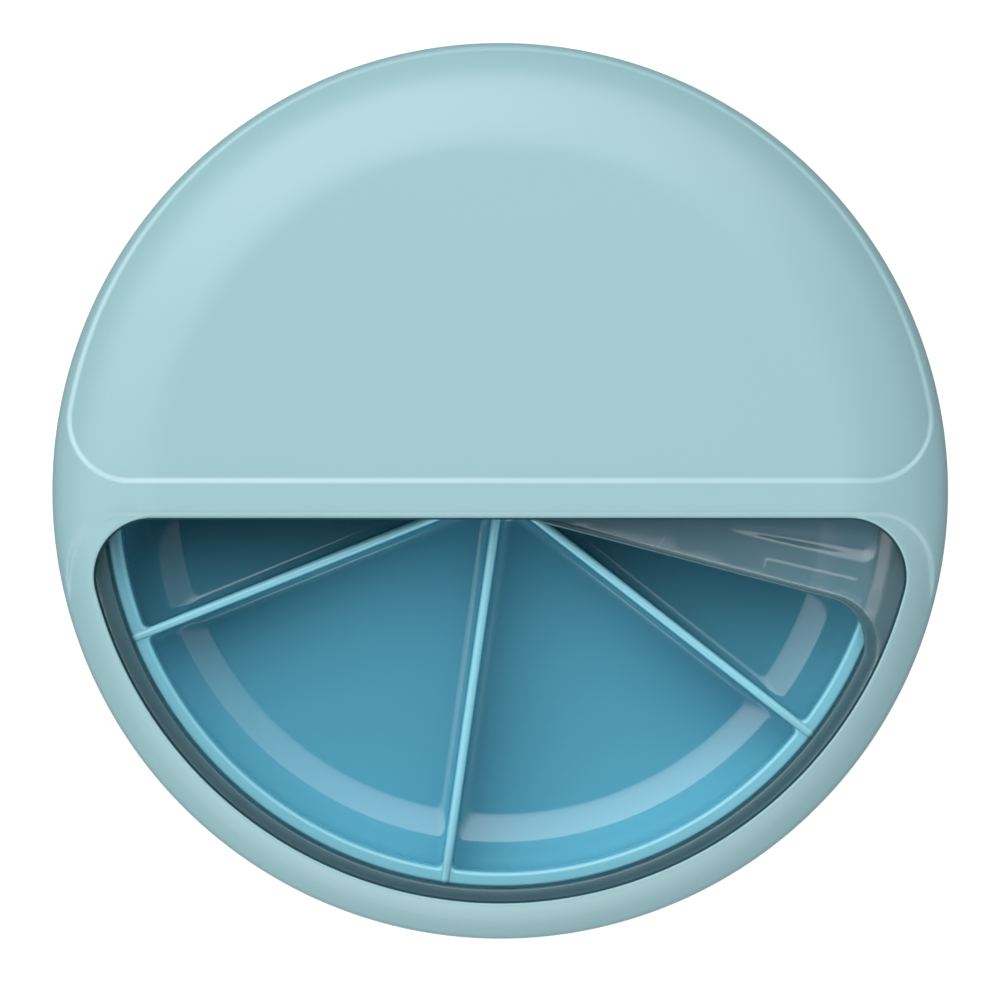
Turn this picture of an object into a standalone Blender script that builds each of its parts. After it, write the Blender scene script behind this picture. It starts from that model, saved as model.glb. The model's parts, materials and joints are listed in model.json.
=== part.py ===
"""Round rotary pill organiser, modelled in metres with +Z up and its origin at the centre of its footprint.

A dished base carries a six-compartment tray. A domed cover with a half-round window turns over them on a
central screw and sleeve, and a smoked half shutter turns inside the cover to close the window.
"""

import math

import bmesh
import bpy
from mathutils import Matrix

MM = 0.001
GAP = 0.3 * MM
LARGE_STEPS = 60
SMALL_STEPS = 24

# Cover, outside.
OUTER_RADIUS = 55.0 * MM
FLAT_RADIUS = 41.3 * MM
GRIP_TOP = 28.0 * MM
GRIP_BEND = 16.5 * MM
SHOULDER_RADIUS = 53.6 * MM
SIDE_BOTTOM = 16.5 * MM
SKIRT_BOTTOM = 13.6 * MM
SKIRT_BOTTOM_RADIUS = 54.85 * MM
FIELD_TOP = 27.6 * MM
FIELD_BEND = 16.1 * MM

# Outlines cut in the cover: a chord at Y and an arc, with rounded corners.
FIELD_CHORD = 1.0 * MM
FIELD_ARC = 54.1 * MM
FIELD_CORNER = 9.0 * MM
LEDGE_CHORD = -3.0 * MM
LEDGE_ARC = 54.3 * MM
LEDGE_CORNER = 7.0 * MM
WINDOW_CHORD = -3.3 * MM
WINDOW_ARC = 51.1 * MM
WINDOW_ARC_OFFSET = 0.7 * MM
WINDOW_CORNER = 7.2 * MM
CUTTER_HEIGHT = 14.0 * MM
CUTTER_BOTTOM = 10.0 * MM
WINDOW_CUTTER = (19.0 * MM, 12.0 * MM)

# Cover, inside.
COVER_WALL = 2.0 * MM
COVER_BORE = 53.1 * MM
CEILING_RADIUS = 50.2 * MM
CEILING_EDGE_RADIUS = 52.3 * MM
CEILING_EDGE_HEIGHT = 22.0 * MM
SNAP_GROOVE_RADIUS = 53.7 * MM
SNAP_GROOVE = (18.5 * MM, 19.6 * MM)
GLIDE_REBATE_RADIUS = 54.1 * MM
GLIDE_REBATE_TOP = 15.3 * MM
PIVOT_BOSS_RADIUS = 3.2 * MM
PIVOT_BOSS_BOTTOM = 22.7 * MM
INSERT_BORE = 2.2 * MM
INSERT_BORE_TOP = 25.6 * MM

# Shutter and the ring that holds it up.
SHUTTER_BOTTOM = 20.4 * MM
SHUTTER_TOP = 21.6 * MM
SHUTTER_RADIUS = 52.0 * MM
SHUTTER_OPENING = 48.8 * MM
SHUTTER_CHORD = -2.5 * MM
SHUTTER_CORNER = 5.5 * MM
SHUTTER_REST_ANGLE = math.radians(-14.7)
FINGER_SCOOP = (29.8 * MM, 47.4 * MM)
FINGER_SCOOP_BLUNT = 1.3 * MM
FINGER_SCOOP_ANGLE = math.radians(-9.0)
FINGER_SCOOP_DEPTH = 0.6 * MM
RETAINER = (49.6 * MM, 52.8 * MM)
RETAINER_BOTTOM = 18.4 * MM
RETAINER_TOP = 20.0 * MM
NOTCH_COUNT = 12
NOTCH_RADIUS = 1.6 * MM
NOTCH_DEPTH = 0.8 * MM

# Tray.
RIM_TOP = 19.5 * MM
RIM_RADIUS = 48.6 * MM
RIM_INNER = 46.8 * MM
TRAY_WALL = 1.3 * MM
TRAY_FLOOR = 7.8 * MM
TRAY_FLOOR_RADIUS = 39.75 * MM
TRAY_FILLET = 6.9 * MM
DIVIDER_COUNT = 6
DIVIDER_TOP = 19.9 * MM
DIVIDER_THICKNESS = 1.07 * MM
DIVIDER_SETBACK = 0.05 * MM
DIVIDER_REST_ANGLE = math.radians(21.9)
TRAY_HUB_RADIUS = 3.1 * MM
PIVOT_BORE = 2.1 * MM

# Base.
BASE_BOTTOM = 1.0 * MM
BASE_TOP = 13.2 * MM
BASE_TOP_RADIUS = 54.75 * MM
BASE_FLAT_RADIUS = 44.0 * MM
BASE_FLOOR = 2.8 * MM
BASE_INNER_RADIUS = 51.4 * MM
SPIGOT_RADIUS = 52.75 * MM
SPIGOT_TOP = 15.0 * MM
PIVOT_WEB = (4.9 * MM, 6.2 * MM)
PIVOT_POCKET_RADIUS = 4.2 * MM
BASE_BOSS_RADIUS = 6.0 * MM
KEY_ANGLES = [math.radians(angle) for angle in (90.0, 210.0, 330.0)]
KEY_TOP = 15.0 * MM
KEY_SLOT_BOTTOM = 13.2 * MM
KEY_POST = (48.5 * MM, 52.0 * MM, 1.9 * MM)
KEY_SLOT = (48.0 * MM, 51.0 * MM, 1.1 * MM)
TRAY_LUG = (47.4 * MM, 50.6 * MM, 0.75 * MM)
FOOT_CIRCLE = 34.0 * MM
FOOT_RADIUS = 4.0 * MM
FOOT_RECESS = 0.6 * MM

# Detents: a sprung plunger in a tube of the base, under the notched ring.
DETENT_ANGLES = (0.0, math.pi)
DETENT_CIRCLE = 50.3 * MM
DETENT_TUBE_RADIUS = 1.9 * MM
DETENT_BORE = 1.3 * MM
DETENT_TUBE_TOP = 15.6 * MM
PLUNGER_RADIUS = 1.0 * MM
PLUNGER_BOTTOM = 11.8 * MM
PLUNGER_TOP = 18.9 * MM
SPRING_RADIUS = 0.7 * MM
SPRING_WIRE = 0.2 * MM
SPRING_TURNS = 4
SPRING_CLEARANCE = 0.1 * MM
SPRING_SEAT = 0.4 * MM

# Pivot stack, each as (inner radius, outer radius, bottom, top).
SLEEVE = (1.3 * MM, 1.8 * MM, 4.05 * MM, 22.4 * MM)
INSERT = (1.3 * MM, 1.9 * MM, 22.7 * MM, 25.3 * MM)
HEAD_WASHER = (1.3 * MM, 3.6 * MM, 3.35 * MM, 3.75 * MM)
SHUTTER_WASHER = (2.1 * MM, 3.1 * MM, 21.9 * MM, 22.4 * MM)
WAVE_WASHER = (2.2 * MM, 3.5 * MM, 4.1 * MM, 4.6 * MM)
WAVE_LOBES = 3
GLIDE_RING = (53.1 * MM, 53.8 * MM, 13.5 * MM, 15.0 * MM)
SCREW_SHANK = 1.0 * MM
SCREW_HEAD = 2.7 * MM
SCREW_HEAD_BOTTOM = 1.95 * MM
SCREW_HEAD_TOP = 3.05 * MM
SCREW_TIP = 25.0 * MM
SCREW_CHAMFER = 0.3 * MM
SCREW_SLOT = (0.35 * MM, 1.5 * MM, 0.7 * MM)
CAP_RADIUS = 3.9 * MM
CAP = (1.05 * MM, 1.65 * MM)
CAP_CHAMFER = 0.2 * MM
FOOT_CHAMFER = 0.4 * MM


def clear_scene():
    for obj in list(bpy.data.objects):
        bpy.data.objects.remove(obj)


def make_collection(name):
    made = bpy.data.collections.new(name)
    bpy.context.scene.collection.children.link(made)
    return made


def make_material(name, colour, roughness, metallic=0.0, alpha=1.0):
    made = bpy.data.materials.new(name)
    made.use_nodes = True
    shader = made.node_tree.nodes["Principled BSDF"]
    shader.inputs["Base Color"].default_value = (*colour, 1.0)
    shader.inputs["Roughness"].default_value = roughness
    shader.inputs["Metallic"].default_value = metallic
    shader.inputs["Alpha"].default_value = alpha
    return made


def polar(radius, angle):
    return radius * math.cos(angle), radius * math.sin(angle)


def arc(centre, radius, start, end, steps):
    """Points on an arc, both ends included; radius is one number or a pair of half axes."""
    across, up = radius if isinstance(radius, tuple) else (radius, radius)
    angles = [start + (end - start) * i / steps for i in range(steps + 1)]
    return [(centre[0] + across * math.cos(a), centre[1] + up * math.sin(a)) for a in angles]


def place(obj, collection, material=None):
    for owner in list(obj.users_collection):
        owner.objects.unlink(obj)
    collection.objects.link(obj)
    if material:
        obj.data.materials.clear()
        obj.data.materials.append(material)
    return obj


def turned(name, profile, collection, material=None, steps=LARGE_STEPS, closed=False):
    """A solid of revolution about Z from (radius, height) points that run down its outer side."""
    mesh = bpy.data.meshes.new(name)
    points = [(radius, 0.0, height) for radius, height in profile]
    edges = [(i, i + 1) for i in range(len(points) - 1)]
    if closed:
        edges.append((len(points) - 1, 0))
    mesh.from_pydata(points, edges, [])
    obj = bpy.data.objects.new(name, mesh)
    place(obj, collection, material)
    screw = obj.modifiers.new("Turn", "SCREW")
    screw.axis = "Z"
    screw.steps = steps
    screw.render_steps = steps
    screw.use_merge_vertices = True
    screw.merge_threshold = 0.00001
    screw.use_smooth_shade = True
    return obj


def ring(name, size, collection, material=None, steps=SMALL_STEPS):
    inner, outer, bottom, top = size
    profile = [(inner, top), (outer, top), (outer, bottom), (inner, bottom)]
    return turned(name, profile, collection, material, steps, closed=True)


def plate(name, outline, thickness, collection):
    """A flat piece of the outline in XY, from Z = 0 up to the thickness, as a mesh."""
    curve = bpy.data.curves.new(name + "_outline", "CURVE")
    curve.dimensions = "2D"
    curve.fill_mode = "BOTH"
    curve.extrude = thickness / 2
    spline = curve.splines.new("POLY")
    spline.points.add(len(outline) - 1)
    for point, (x, y) in zip(spline.points, outline):
        point.co = (x, y, 0.0, 1.0)
    spline.use_cyclic_u = True
    drawn = bpy.data.objects.new(name + "_outline", curve)
    bpy.context.scene.collection.objects.link(drawn)
    bpy.context.view_layer.update()
    graph = bpy.context.evaluated_depsgraph_get()
    mesh = bpy.data.meshes.new_from_object(drawn.evaluated_get(graph))
    bpy.data.objects.remove(drawn)
    work = bmesh.new()
    work.from_mesh(mesh)
    bmesh.ops.remove_doubles(work, verts=work.verts, dist=0.000001)
    bmesh.ops.translate(work, verts=work.verts, vec=(0.0, 0.0, thickness / 2))
    bmesh.ops.recalc_face_normals(work, faces=work.faces)
    work.to_mesh(mesh)
    work.free()
    return place(bpy.data.objects.new(name, mesh), collection)


def block(name, low, high, collection):
    work = bmesh.new()
    bmesh.ops.create_cube(work, size=1.0)
    size = [b - a for a, b in zip(low, high)]
    middle = [(a + b) / 2 for a, b in zip(low, high)]
    bmesh.ops.scale(work, vec=size, verts=work.verts)
    bmesh.ops.translate(work, vec=middle, verts=work.verts)
    mesh = bpy.data.meshes.new(name)
    work.to_mesh(mesh)
    work.free()
    return place(bpy.data.objects.new(name, mesh), collection)


def boolean(target, tool, operation):
    """Adds the Boolean and hides its tool; the tool stays in the helpers collection."""
    tool.hide_render = True
    tool.display_type = "WIRE"
    modifier = target.modifiers.new(operation.title() + " " + tool.name, "BOOLEAN")
    modifier.operation = operation
    modifier.solver = "EXACT"
    modifier.object = tool


def apply_modifiers(obj):
    """Turns the evaluated shape into the object's own mesh, so it can be a clean Boolean operand."""
    bpy.context.view_layer.update()
    graph = bpy.context.evaluated_depsgraph_get()
    mesh = bpy.data.meshes.new_from_object(obj.evaluated_get(graph))
    obj.modifiers.clear()
    obj.data = mesh
    return obj


def rounded_segment(arc_radius, chord, corner, side, offset=0.0, steps=40, corner_steps=6):
    """Outline of a circle's segment on one side of a chord parallel to X, with rounded corners.

    side is 1 for the part above the chord and -1 for the part below it. offset moves the arc's centre in Y.
    """
    reach = side * (chord - offset) + corner
    across = math.sqrt((arc_radius - corner) ** 2 - reach**2)
    tilt = math.atan2(reach, across)
    right = arc((across, reach), corner, -math.pi / 2, tilt, corner_steps)
    far = arc((0.0, 0.0), arc_radius, tilt, math.pi - tilt, steps)
    left = arc((-across, reach), corner, math.pi - tilt, 3 * math.pi / 2, corner_steps)
    points = right + far[1:-1] + left
    return [(x, side * y + offset) for x, y in points]


def domed(radius, top, bend):
    """Height of a surface that is flat out to FLAT_RADIUS and then follows an arc of radius bend."""
    beyond = max(radius - FLAT_RADIUS, 0.0)
    return top - bend + math.sqrt(bend**2 - beyond**2)


def field_height(radius):
    return domed(radius, FIELD_TOP, FIELD_BEND)


def spaced(start, end, steps):
    return [start + (end - start) * i / steps for i in range(steps + 1)]


def field_profile():
    radii = spaced(FLAT_RADIUS, OUTER_RADIUS + MM, 7)
    return [(radius, field_height(radius)) for radius in radii]


def side_profile():
    """The barrel's outside: flat, an arc, a tighter arc that ends upright, and the side down to the skirt."""
    slope = math.asin((SHOULDER_RADIUS - FLAT_RADIUS) / GRIP_BEND)
    dome = arc((FLAT_RADIUS, GRIP_TOP - GRIP_BEND), GRIP_BEND, math.pi / 2, math.pi / 2 - slope, 5)
    bend = (OUTER_RADIUS - SHOULDER_RADIUS) / (1 - math.sin(slope))
    middle = (OUTER_RADIUS - bend, dome[-1][1] - bend * math.cos(slope))
    shoulder = arc(middle, bend, math.pi / 2 - slope, 0.0, 3)
    return [*dome, *shoulder[1:], (OUTER_RADIUS, SIDE_BOTTOM), (SKIRT_BOTTOM_RADIUS, SKIRT_BOTTOM)]


def cover_blank(parts, material):
    """The barrel with the grip's height all over, hollow inside."""
    radii = spaced(FLAT_RADIUS, CEILING_RADIUS, 3)
    ceiling = [(radius, field_height(radius) - COVER_WALL) for radius in radii]
    groove_bottom, groove_top = SNAP_GROOVE
    inside = [
        (GLIDE_REBATE_RADIUS, SKIRT_BOTTOM),
        (GLIDE_REBATE_RADIUS, GLIDE_REBATE_TOP),
        (COVER_BORE, GLIDE_REBATE_TOP),
        (COVER_BORE, groove_bottom),
        (SNAP_GROOVE_RADIUS, groove_bottom),
        (SNAP_GROOVE_RADIUS, groove_top),
        (COVER_BORE, groove_top),
        (COVER_BORE, CEILING_EDGE_HEIGHT - (COVER_BORE - CEILING_EDGE_RADIUS)),
        (CEILING_EDGE_RADIUS, CEILING_EDGE_HEIGHT),
        *reversed(ceiling),
        (0.0, FIELD_TOP - COVER_WALL),
    ]
    profile = [(0.0, GRIP_TOP), *side_profile(), *inside]
    return turned("cover_shell", profile, parts, material)


def field_cutter(name, outline, helpers):
    """Everything above the dished field inside one outline."""
    cutter = plate(name, outline, CUTTER_HEIGHT, helpers)
    cutter.location.z = FIELD_TOP - CUTTER_HEIGHT / 2
    outside = OUTER_RADIUS + MM
    below = [(0.0, FIELD_TOP), *field_profile(), (outside, CUTTER_BOTTOM), (0.0, CUTTER_BOTTOM)]
    boolean(cutter, turned(name + "_dish", below, helpers), "DIFFERENCE")
    return cutter


def make_cover(parts, helpers, material):
    cover = cover_blank(parts, material)
    boss = turned(
        "pivot_boss",
        [
            (0.0, FIELD_TOP - COVER_WALL / 2),
            (PIVOT_BOSS_RADIUS, FIELD_TOP - COVER_WALL / 2),
            (PIVOT_BOSS_RADIUS, PIVOT_BOSS_BOTTOM),
            (0.0, PIVOT_BOSS_BOTTOM),
        ],
        helpers,
        steps=SMALL_STEPS,
    )
    boolean(cover, boss, "UNION")
    field = rounded_segment(FIELD_ARC, FIELD_CHORD, FIELD_CORNER, 1)
    boolean(cover, field_cutter("field_cut", field, helpers), "DIFFERENCE")
    ledge = rounded_segment(LEDGE_ARC, LEDGE_CHORD, LEDGE_CORNER, -1)
    boolean(cover, field_cutter("ledge_cut", ledge, helpers), "DIFFERENCE")
    window = rounded_segment(WINDOW_ARC, WINDOW_CHORD, WINDOW_CORNER, -1, WINDOW_ARC_OFFSET)
    bottom, height = WINDOW_CUTTER
    window_cut = plate("window_cut", window, height, helpers)
    window_cut.location.z = bottom
    boolean(cover, window_cut, "DIFFERENCE")
    bore = [
        (0.0, INSERT_BORE_TOP),
        (INSERT_BORE, INSERT_BORE_TOP),
        (INSERT_BORE, PIVOT_BOSS_BOTTOM - MM),
        (0.0, PIVOT_BOSS_BOTTOM - MM),
    ]
    boolean(cover, turned("insert_bore", bore, helpers, steps=SMALL_STEPS), "DIFFERENCE")
    return cover


def finger_scoop_outline():
    """A drop shape, blunt towards the rim and pointed towards the middle."""
    inner, outer = FINGER_SCOOP
    blunt = FINGER_SCOOP_BLUNT
    tip = [(inner, 0.0)]
    return tip + arc((outer - blunt, 0.0), blunt, -math.pi / 2, math.pi / 2, 8)


def make_shutter(parts, helpers, material):
    thickness = SHUTTER_TOP - SHUTTER_BOTTOM
    size = (PIVOT_BORE, SHUTTER_RADIUS, SHUTTER_BOTTOM, SHUTTER_TOP)
    shutter = ring("shutter", size, parts, material, LARGE_STEPS)
    opening = rounded_segment(SHUTTER_OPENING, SHUTTER_CHORD, SHUTTER_CORNER, -1)
    cut = plate("shutter_opening", opening, 3 * thickness, helpers)
    cut.location.z = SHUTTER_BOTTOM - thickness
    cut.rotation_euler.z = SHUTTER_REST_ANGLE
    boolean(shutter, cut, "DIFFERENCE")
    hub_size = (PIVOT_BORE, TRAY_HUB_RADIUS, SHUTTER_BOTTOM, SHUTTER_TOP)
    boolean(shutter, ring("shutter_hub", hub_size, helpers), "UNION")
    scoop = plate("finger_scoop", finger_scoop_outline(), thickness, helpers)
    scoop.location.z = SHUTTER_TOP - FINGER_SCOOP_DEPTH
    scoop.rotation_euler.z = FINGER_SCOOP_ANGLE
    boolean(shutter, scoop, "DIFFERENCE")
    return shutter


def make_retainer(parts, helpers, material):
    inner, outer = RETAINER
    bead = SNAP_GROOVE_RADIUS - GAP
    low, high = SNAP_GROOVE
    profile = [
        (inner, RETAINER_TOP),
        (outer, RETAINER_TOP),
        (outer, high - GAP),
        (bead, high - GAP),
        (bead, low + GAP),
        (outer, low + GAP),
        (outer, RETAINER_BOTTOM),
        (inner, RETAINER_BOTTOM),
    ]
    retainer = turned("shutter_retainer", profile, parts, material, closed=True)
    reach = outer - inner
    for i in range(NOTCH_COUNT):
        angle = 2 * math.pi * i / NOTCH_COUNT
        notch = block_cylinder(f"notch_{i + 1}", NOTCH_RADIUS, 2 * reach, helpers)
        x, y = polar((inner + outer) / 2, angle)
        height = RETAINER_BOTTOM + NOTCH_DEPTH - NOTCH_RADIUS
        notch.matrix_world = (
            Matrix.Translation((x, y, height))
            @ Matrix.Rotation(angle, 4, "Z")
            @ Matrix.Rotation(math.pi / 2, 4, "Y")
        )
        boolean(retainer, notch, "DIFFERENCE")
    return retainer


def block_cylinder(name, radius, length, collection, steps=16):
    work = bmesh.new()
    bmesh.ops.create_cone(
        work, cap_ends=True, segments=steps, radius1=radius, radius2=radius, depth=length
    )
    mesh = bpy.data.meshes.new(name)
    work.to_mesh(mesh)
    work.free()
    return place(bpy.data.objects.new(name, mesh), collection)


def tray_section():
    """Half section of the tray, a closed loop down its outer side and back up the inside."""
    centre = (TRAY_FLOOR_RADIUS, TRAY_FLOOR + TRAY_FILLET)
    quarter = (-math.pi / 2, 0.0)
    outer = arc(centre, TRAY_FILLET + TRAY_WALL, quarter[1], quarter[0], 6)
    inner = arc(centre, TRAY_FILLET, quarter[0], quarter[1], 6)
    return [
        (RIM_RADIUS, RIM_TOP),
        *outer,
        (PIVOT_BORE, TRAY_FLOOR - TRAY_WALL),
        (PIVOT_BORE, DIVIDER_TOP),
        (TRAY_HUB_RADIUS, DIVIDER_TOP),
        (TRAY_HUB_RADIUS, TRAY_FLOOR),
        *inner,
        (RIM_INNER, RIM_TOP),
    ]


def divider_outline():
    """One divider seen from its side, as (radius, height); it ends inside the tray's wall."""
    centre = (TRAY_FLOOR_RADIUS, TRAY_FLOOR + TRAY_FILLET)
    sunk = TRAY_WALL / 2
    reach = RIM_RADIUS - DIVIDER_SETBACK
    start = (PIVOT_BORE + TRAY_HUB_RADIUS) / 2
    return [
        (start, TRAY_FLOOR - sunk),
        *arc(centre, TRAY_FILLET + sunk, -math.pi / 2, 0.0, 6),
        (RIM_INNER + sunk, RIM_TOP - sunk),
        (reach, RIM_TOP - sunk),
        (reach, DIVIDER_TOP),
        (start, DIVIDER_TOP),
    ]


def make_tray(parts, helpers, material):
    tray = turned("tray", tray_section(), parts, material, closed=True)
    for i in range(DIVIDER_COUNT):
        divider = plate(f"divider_{i + 1}", divider_outline(), DIVIDER_THICKNESS, helpers)
        turn = DIVIDER_REST_ANGLE + 2 * math.pi * i / DIVIDER_COUNT
        divider.matrix_world = (
            Matrix.Rotation(turn, 4, "Z")
            @ Matrix.Rotation(math.pi / 2, 4, "X")
            @ Matrix.Translation((0.0, 0.0, -DIVIDER_THICKNESS / 2))
        )
        boolean(tray, divider, "UNION")
    inner, outer, half = TRAY_LUG
    for i, angle in enumerate(KEY_ANGLES):
        low = (inner, -half, KEY_SLOT_BOTTOM + GAP)
        high = (outer, half, KEY_TOP + GAP)
        lug = block(f"tray_lug_{i + 1}", low, high, helpers)
        lug.rotation_euler.z = angle
        boolean(tray, lug, "UNION")
    return tray


def base_section():
    width = BASE_TOP_RADIUS - BASE_FLAT_RADIUS
    outer = arc((BASE_FLAT_RADIUS, BASE_TOP), (width, BASE_TOP - BASE_BOTTOM), 0.0, -math.pi / 2, 7)
    inner_axes = (BASE_INNER_RADIUS - BASE_FLAT_RADIUS, BASE_TOP - BASE_FLOOR)
    inner = arc((BASE_FLAT_RADIUS, BASE_TOP), inner_axes, -math.pi / 2, 0.0, 5)
    web_bottom, web_top = PIVOT_WEB
    return [
        (BASE_INNER_RADIUS, SPIGOT_TOP),
        (SPIGOT_RADIUS, SPIGOT_TOP),
        (SPIGOT_RADIUS, BASE_TOP),
        *outer,
        (PIVOT_POCKET_RADIUS, BASE_BOTTOM),
        (PIVOT_POCKET_RADIUS, web_bottom),
        (PIVOT_BORE, web_bottom),
        (PIVOT_BORE, web_top),
        (BASE_BOSS_RADIUS, web_top),
        (BASE_BOSS_RADIUS, BASE_FLOOR),
        *inner,
    ]


def foot_places():
    return [polar(FOOT_CIRCLE, math.radians(45.0 + 90.0 * i)) for i in range(4)]


def make_base(parts, helpers, material):
    base = turned("base_shell", base_section(), parts, material, closed=True)
    for i, angle in enumerate(KEY_ANGLES):
        inner, outer, half = KEY_POST
        low = (inner, -half, BASE_FLOOR - MM)
        high = (outer, half, KEY_TOP - GAP)
        post = block(f"key_post_{i + 1}", low, high, helpers)
        post.rotation_euler.z = angle
        boolean(base, trimmed_to_base(post, helpers), "UNION")
        inner, outer, half = KEY_SLOT
        slot_low = (inner, -half, KEY_SLOT_BOTTOM)
        slot_high = (outer, half, KEY_TOP + MM)
        slot = block(f"key_slot_{i + 1}", slot_low, slot_high, helpers)
        slot.rotation_euler.z = angle
        boolean(base, slot, "DIFFERENCE")
    for i, angle in enumerate(DETENT_ANGLES):
        height = DETENT_TUBE_TOP - BASE_FLOOR + MM
        tube = block_cylinder(f"detent_tube_{i + 1}", DETENT_TUBE_RADIUS, height, helpers, SMALL_STEPS)
        x, y = polar(DETENT_CIRCLE, angle)
        tube.location = (x, y, DETENT_TUBE_TOP - height / 2)
        boolean(base, trimmed_to_base(tube, helpers), "UNION")
        depth = DETENT_TUBE_TOP - detent_floor() + MM
        bore = block_cylinder(f"detent_bore_{i + 1}", DETENT_BORE, depth, helpers, SMALL_STEPS)
        bore.location = (x, y, detent_floor() + depth / 2)
        boolean(base, bore, "DIFFERENCE")
    for i, (x, y) in enumerate(foot_places()):
        recess = block_cylinder(
            f"foot_recess_{i + 1}", FOOT_RADIUS + GAP, 2 * FOOT_RECESS, helpers, SMALL_STEPS
        )
        recess.location = (x, y, BASE_BOTTOM)
        boolean(base, recess, "DIFFERENCE")
    return base


def detent_floor():
    """Height of the base's inner face under a detent tube, plus a step for the spring to stand on."""
    across = (DETENT_CIRCLE - BASE_FLAT_RADIUS) / (BASE_INNER_RADIUS - BASE_FLAT_RADIUS)
    rise = math.sqrt(1 - across**2)
    return BASE_TOP - (BASE_TOP - BASE_FLOOR) * rise + SPRING_SEAT


def trimmed_to_base(post, helpers):
    """Cuts away what would stand outside the base's dished outer wall."""
    middle = (BASE_TOP_RADIUS + SPIGOT_RADIUS) / 2 - MM
    width = middle - BASE_FLAT_RADIUS
    rise = BASE_TOP - (BASE_BOTTOM + BASE_FLOOR) / 2
    bowl = arc((BASE_FLAT_RADIUS, BASE_TOP), (width, rise), 0.0, -math.pi / 2, 5)
    top = DETENT_TUBE_TOP + 2 * MM
    straight = (BASE_INNER_RADIUS + SPIGOT_RADIUS) / 2
    profile = [(0.0, top), (straight, top), (straight, BASE_TOP), *bowl, (0.0, bowl[-1][1])]
    boolean(post, turned(post.name + "_bowl", profile, helpers), "INTERSECT")
    return apply_modifiers(post)


def make_feet(parts, material):
    for i, (x, y) in enumerate(foot_places()):
        top = BASE_BOTTOM + FOOT_RECESS - GAP
        profile = [
            (0.0, top),
            (FOOT_RADIUS, top),
            (FOOT_RADIUS, FOOT_CHAMFER),
            (FOOT_RADIUS - FOOT_CHAMFER, 0.0),
            (0.0, 0.0),
        ]
        foot = turned(f"foot_pad_{i + 1}", profile, parts, material, SMALL_STEPS)
        foot.location = (x, y, 0.0)


def make_detents(parts, plunger_material, spring_material):
    for i, angle in enumerate(DETENT_ANGLES):
        x, y = polar(DETENT_CIRCLE, angle)
        dome = arc((0.0, PLUNGER_TOP - PLUNGER_RADIUS), PLUNGER_RADIUS, math.pi / 2, 0.0, 4)
        profile = [*dome, (PLUNGER_RADIUS, PLUNGER_BOTTOM), (0.0, PLUNGER_BOTTOM)]
        plunger = turned(f"detent_plunger_{i + 1}", profile, parts, plunger_material, 16)
        plunger.location = (x, y, 0.0)
        make_spring(f"detent_spring_{i + 1}", (x, y), parts, spring_material)


def make_spring(name, centre, parts, material):
    curve = bpy.data.curves.new(name, "CURVE")
    curve.dimensions = "3D"
    curve.bevel_depth = SPRING_WIRE
    curve.bevel_resolution = 1
    curve.use_fill_caps = True
    spline = curve.splines.new("POLY")
    per_turn = 8
    count = SPRING_TURNS * per_turn
    bottom = detent_floor() + SPRING_WIRE + SPRING_CLEARANCE
    top = PLUNGER_BOTTOM - SPRING_WIRE - SPRING_CLEARANCE
    spline.points.add(count)
    for i, point in enumerate(spline.points):
        x, y = polar(SPRING_RADIUS, 2 * math.pi * i / per_turn)
        point.co = (x, y, bottom + (top - bottom) * i / count, 1.0)
    spring = bpy.data.objects.new(name, curve)
    spring.location = (*centre, 0.0)
    place(spring, parts)
    curve.materials.append(material)


def make_screw(parts, helpers, material):
    edge = SCREW_CHAMFER
    profile = [
        (0.0, SCREW_TIP),
        (SCREW_SHANK - edge, SCREW_TIP),
        (SCREW_SHANK, SCREW_TIP - edge),
        (SCREW_SHANK, SCREW_HEAD_TOP),
        (SCREW_HEAD, SCREW_HEAD_TOP),
        (SCREW_HEAD, SCREW_HEAD_BOTTOM + edge),
        (SCREW_HEAD - edge, SCREW_HEAD_BOTTOM),
        (0.0, SCREW_HEAD_BOTTOM),
    ]
    screw = turned("pivot_screw", profile, parts, material, SMALL_STEPS)
    half, long, depth = SCREW_SLOT
    for i in range(2):
        low = (-long, -half, SCREW_HEAD_BOTTOM - MM)
        high = (long, half, SCREW_HEAD_BOTTOM + depth)
        slot = block(f"screw_slot_{i + 1}", low, high, helpers)
        slot.rotation_euler.z = math.pi / 2 * i
        boolean(screw, slot, "DIFFERENCE")


def make_cap(parts, material):
    bottom, top = CAP
    edge = CAP_CHAMFER
    profile = [
        (0.0, top),
        (CAP_RADIUS, top),
        (CAP_RADIUS, bottom + edge),
        (CAP_RADIUS - edge, bottom),
        (0.0, bottom),
    ]
    turned("screw_cap", profile, parts, material, SMALL_STEPS)


def make_wave_washer(parts, material):
    """A thin ring whose height follows three waves round the axis."""
    inner, outer, bottom, top = WAVE_WASHER
    steel = 0.25 * MM
    amplitude = (top - bottom - steel) / 2
    steps = 36
    work = bmesh.new()
    circles = []
    for radius in (inner, outer):
        verts = []
        for i in range(steps):
            angle = 2 * math.pi * i / steps
            height = bottom + amplitude * (1 + math.sin(WAVE_LOBES * angle))
            verts.append(work.verts.new((*polar(radius, angle), height)))
        circles.append(verts)
    for i in range(steps):
        j = (i + 1) % steps
        work.faces.new((circles[0][i], circles[1][i], circles[1][j], circles[0][j]))
    mesh = bpy.data.meshes.new("wave_washer")
    work.to_mesh(mesh)
    work.free()
    washer = place(bpy.data.objects.new("wave_washer", mesh), parts, material)
    solidify = washer.modifiers.new("Steel", "SOLIDIFY")
    solidify.thickness = steel
    solidify.offset = 1.0


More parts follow.
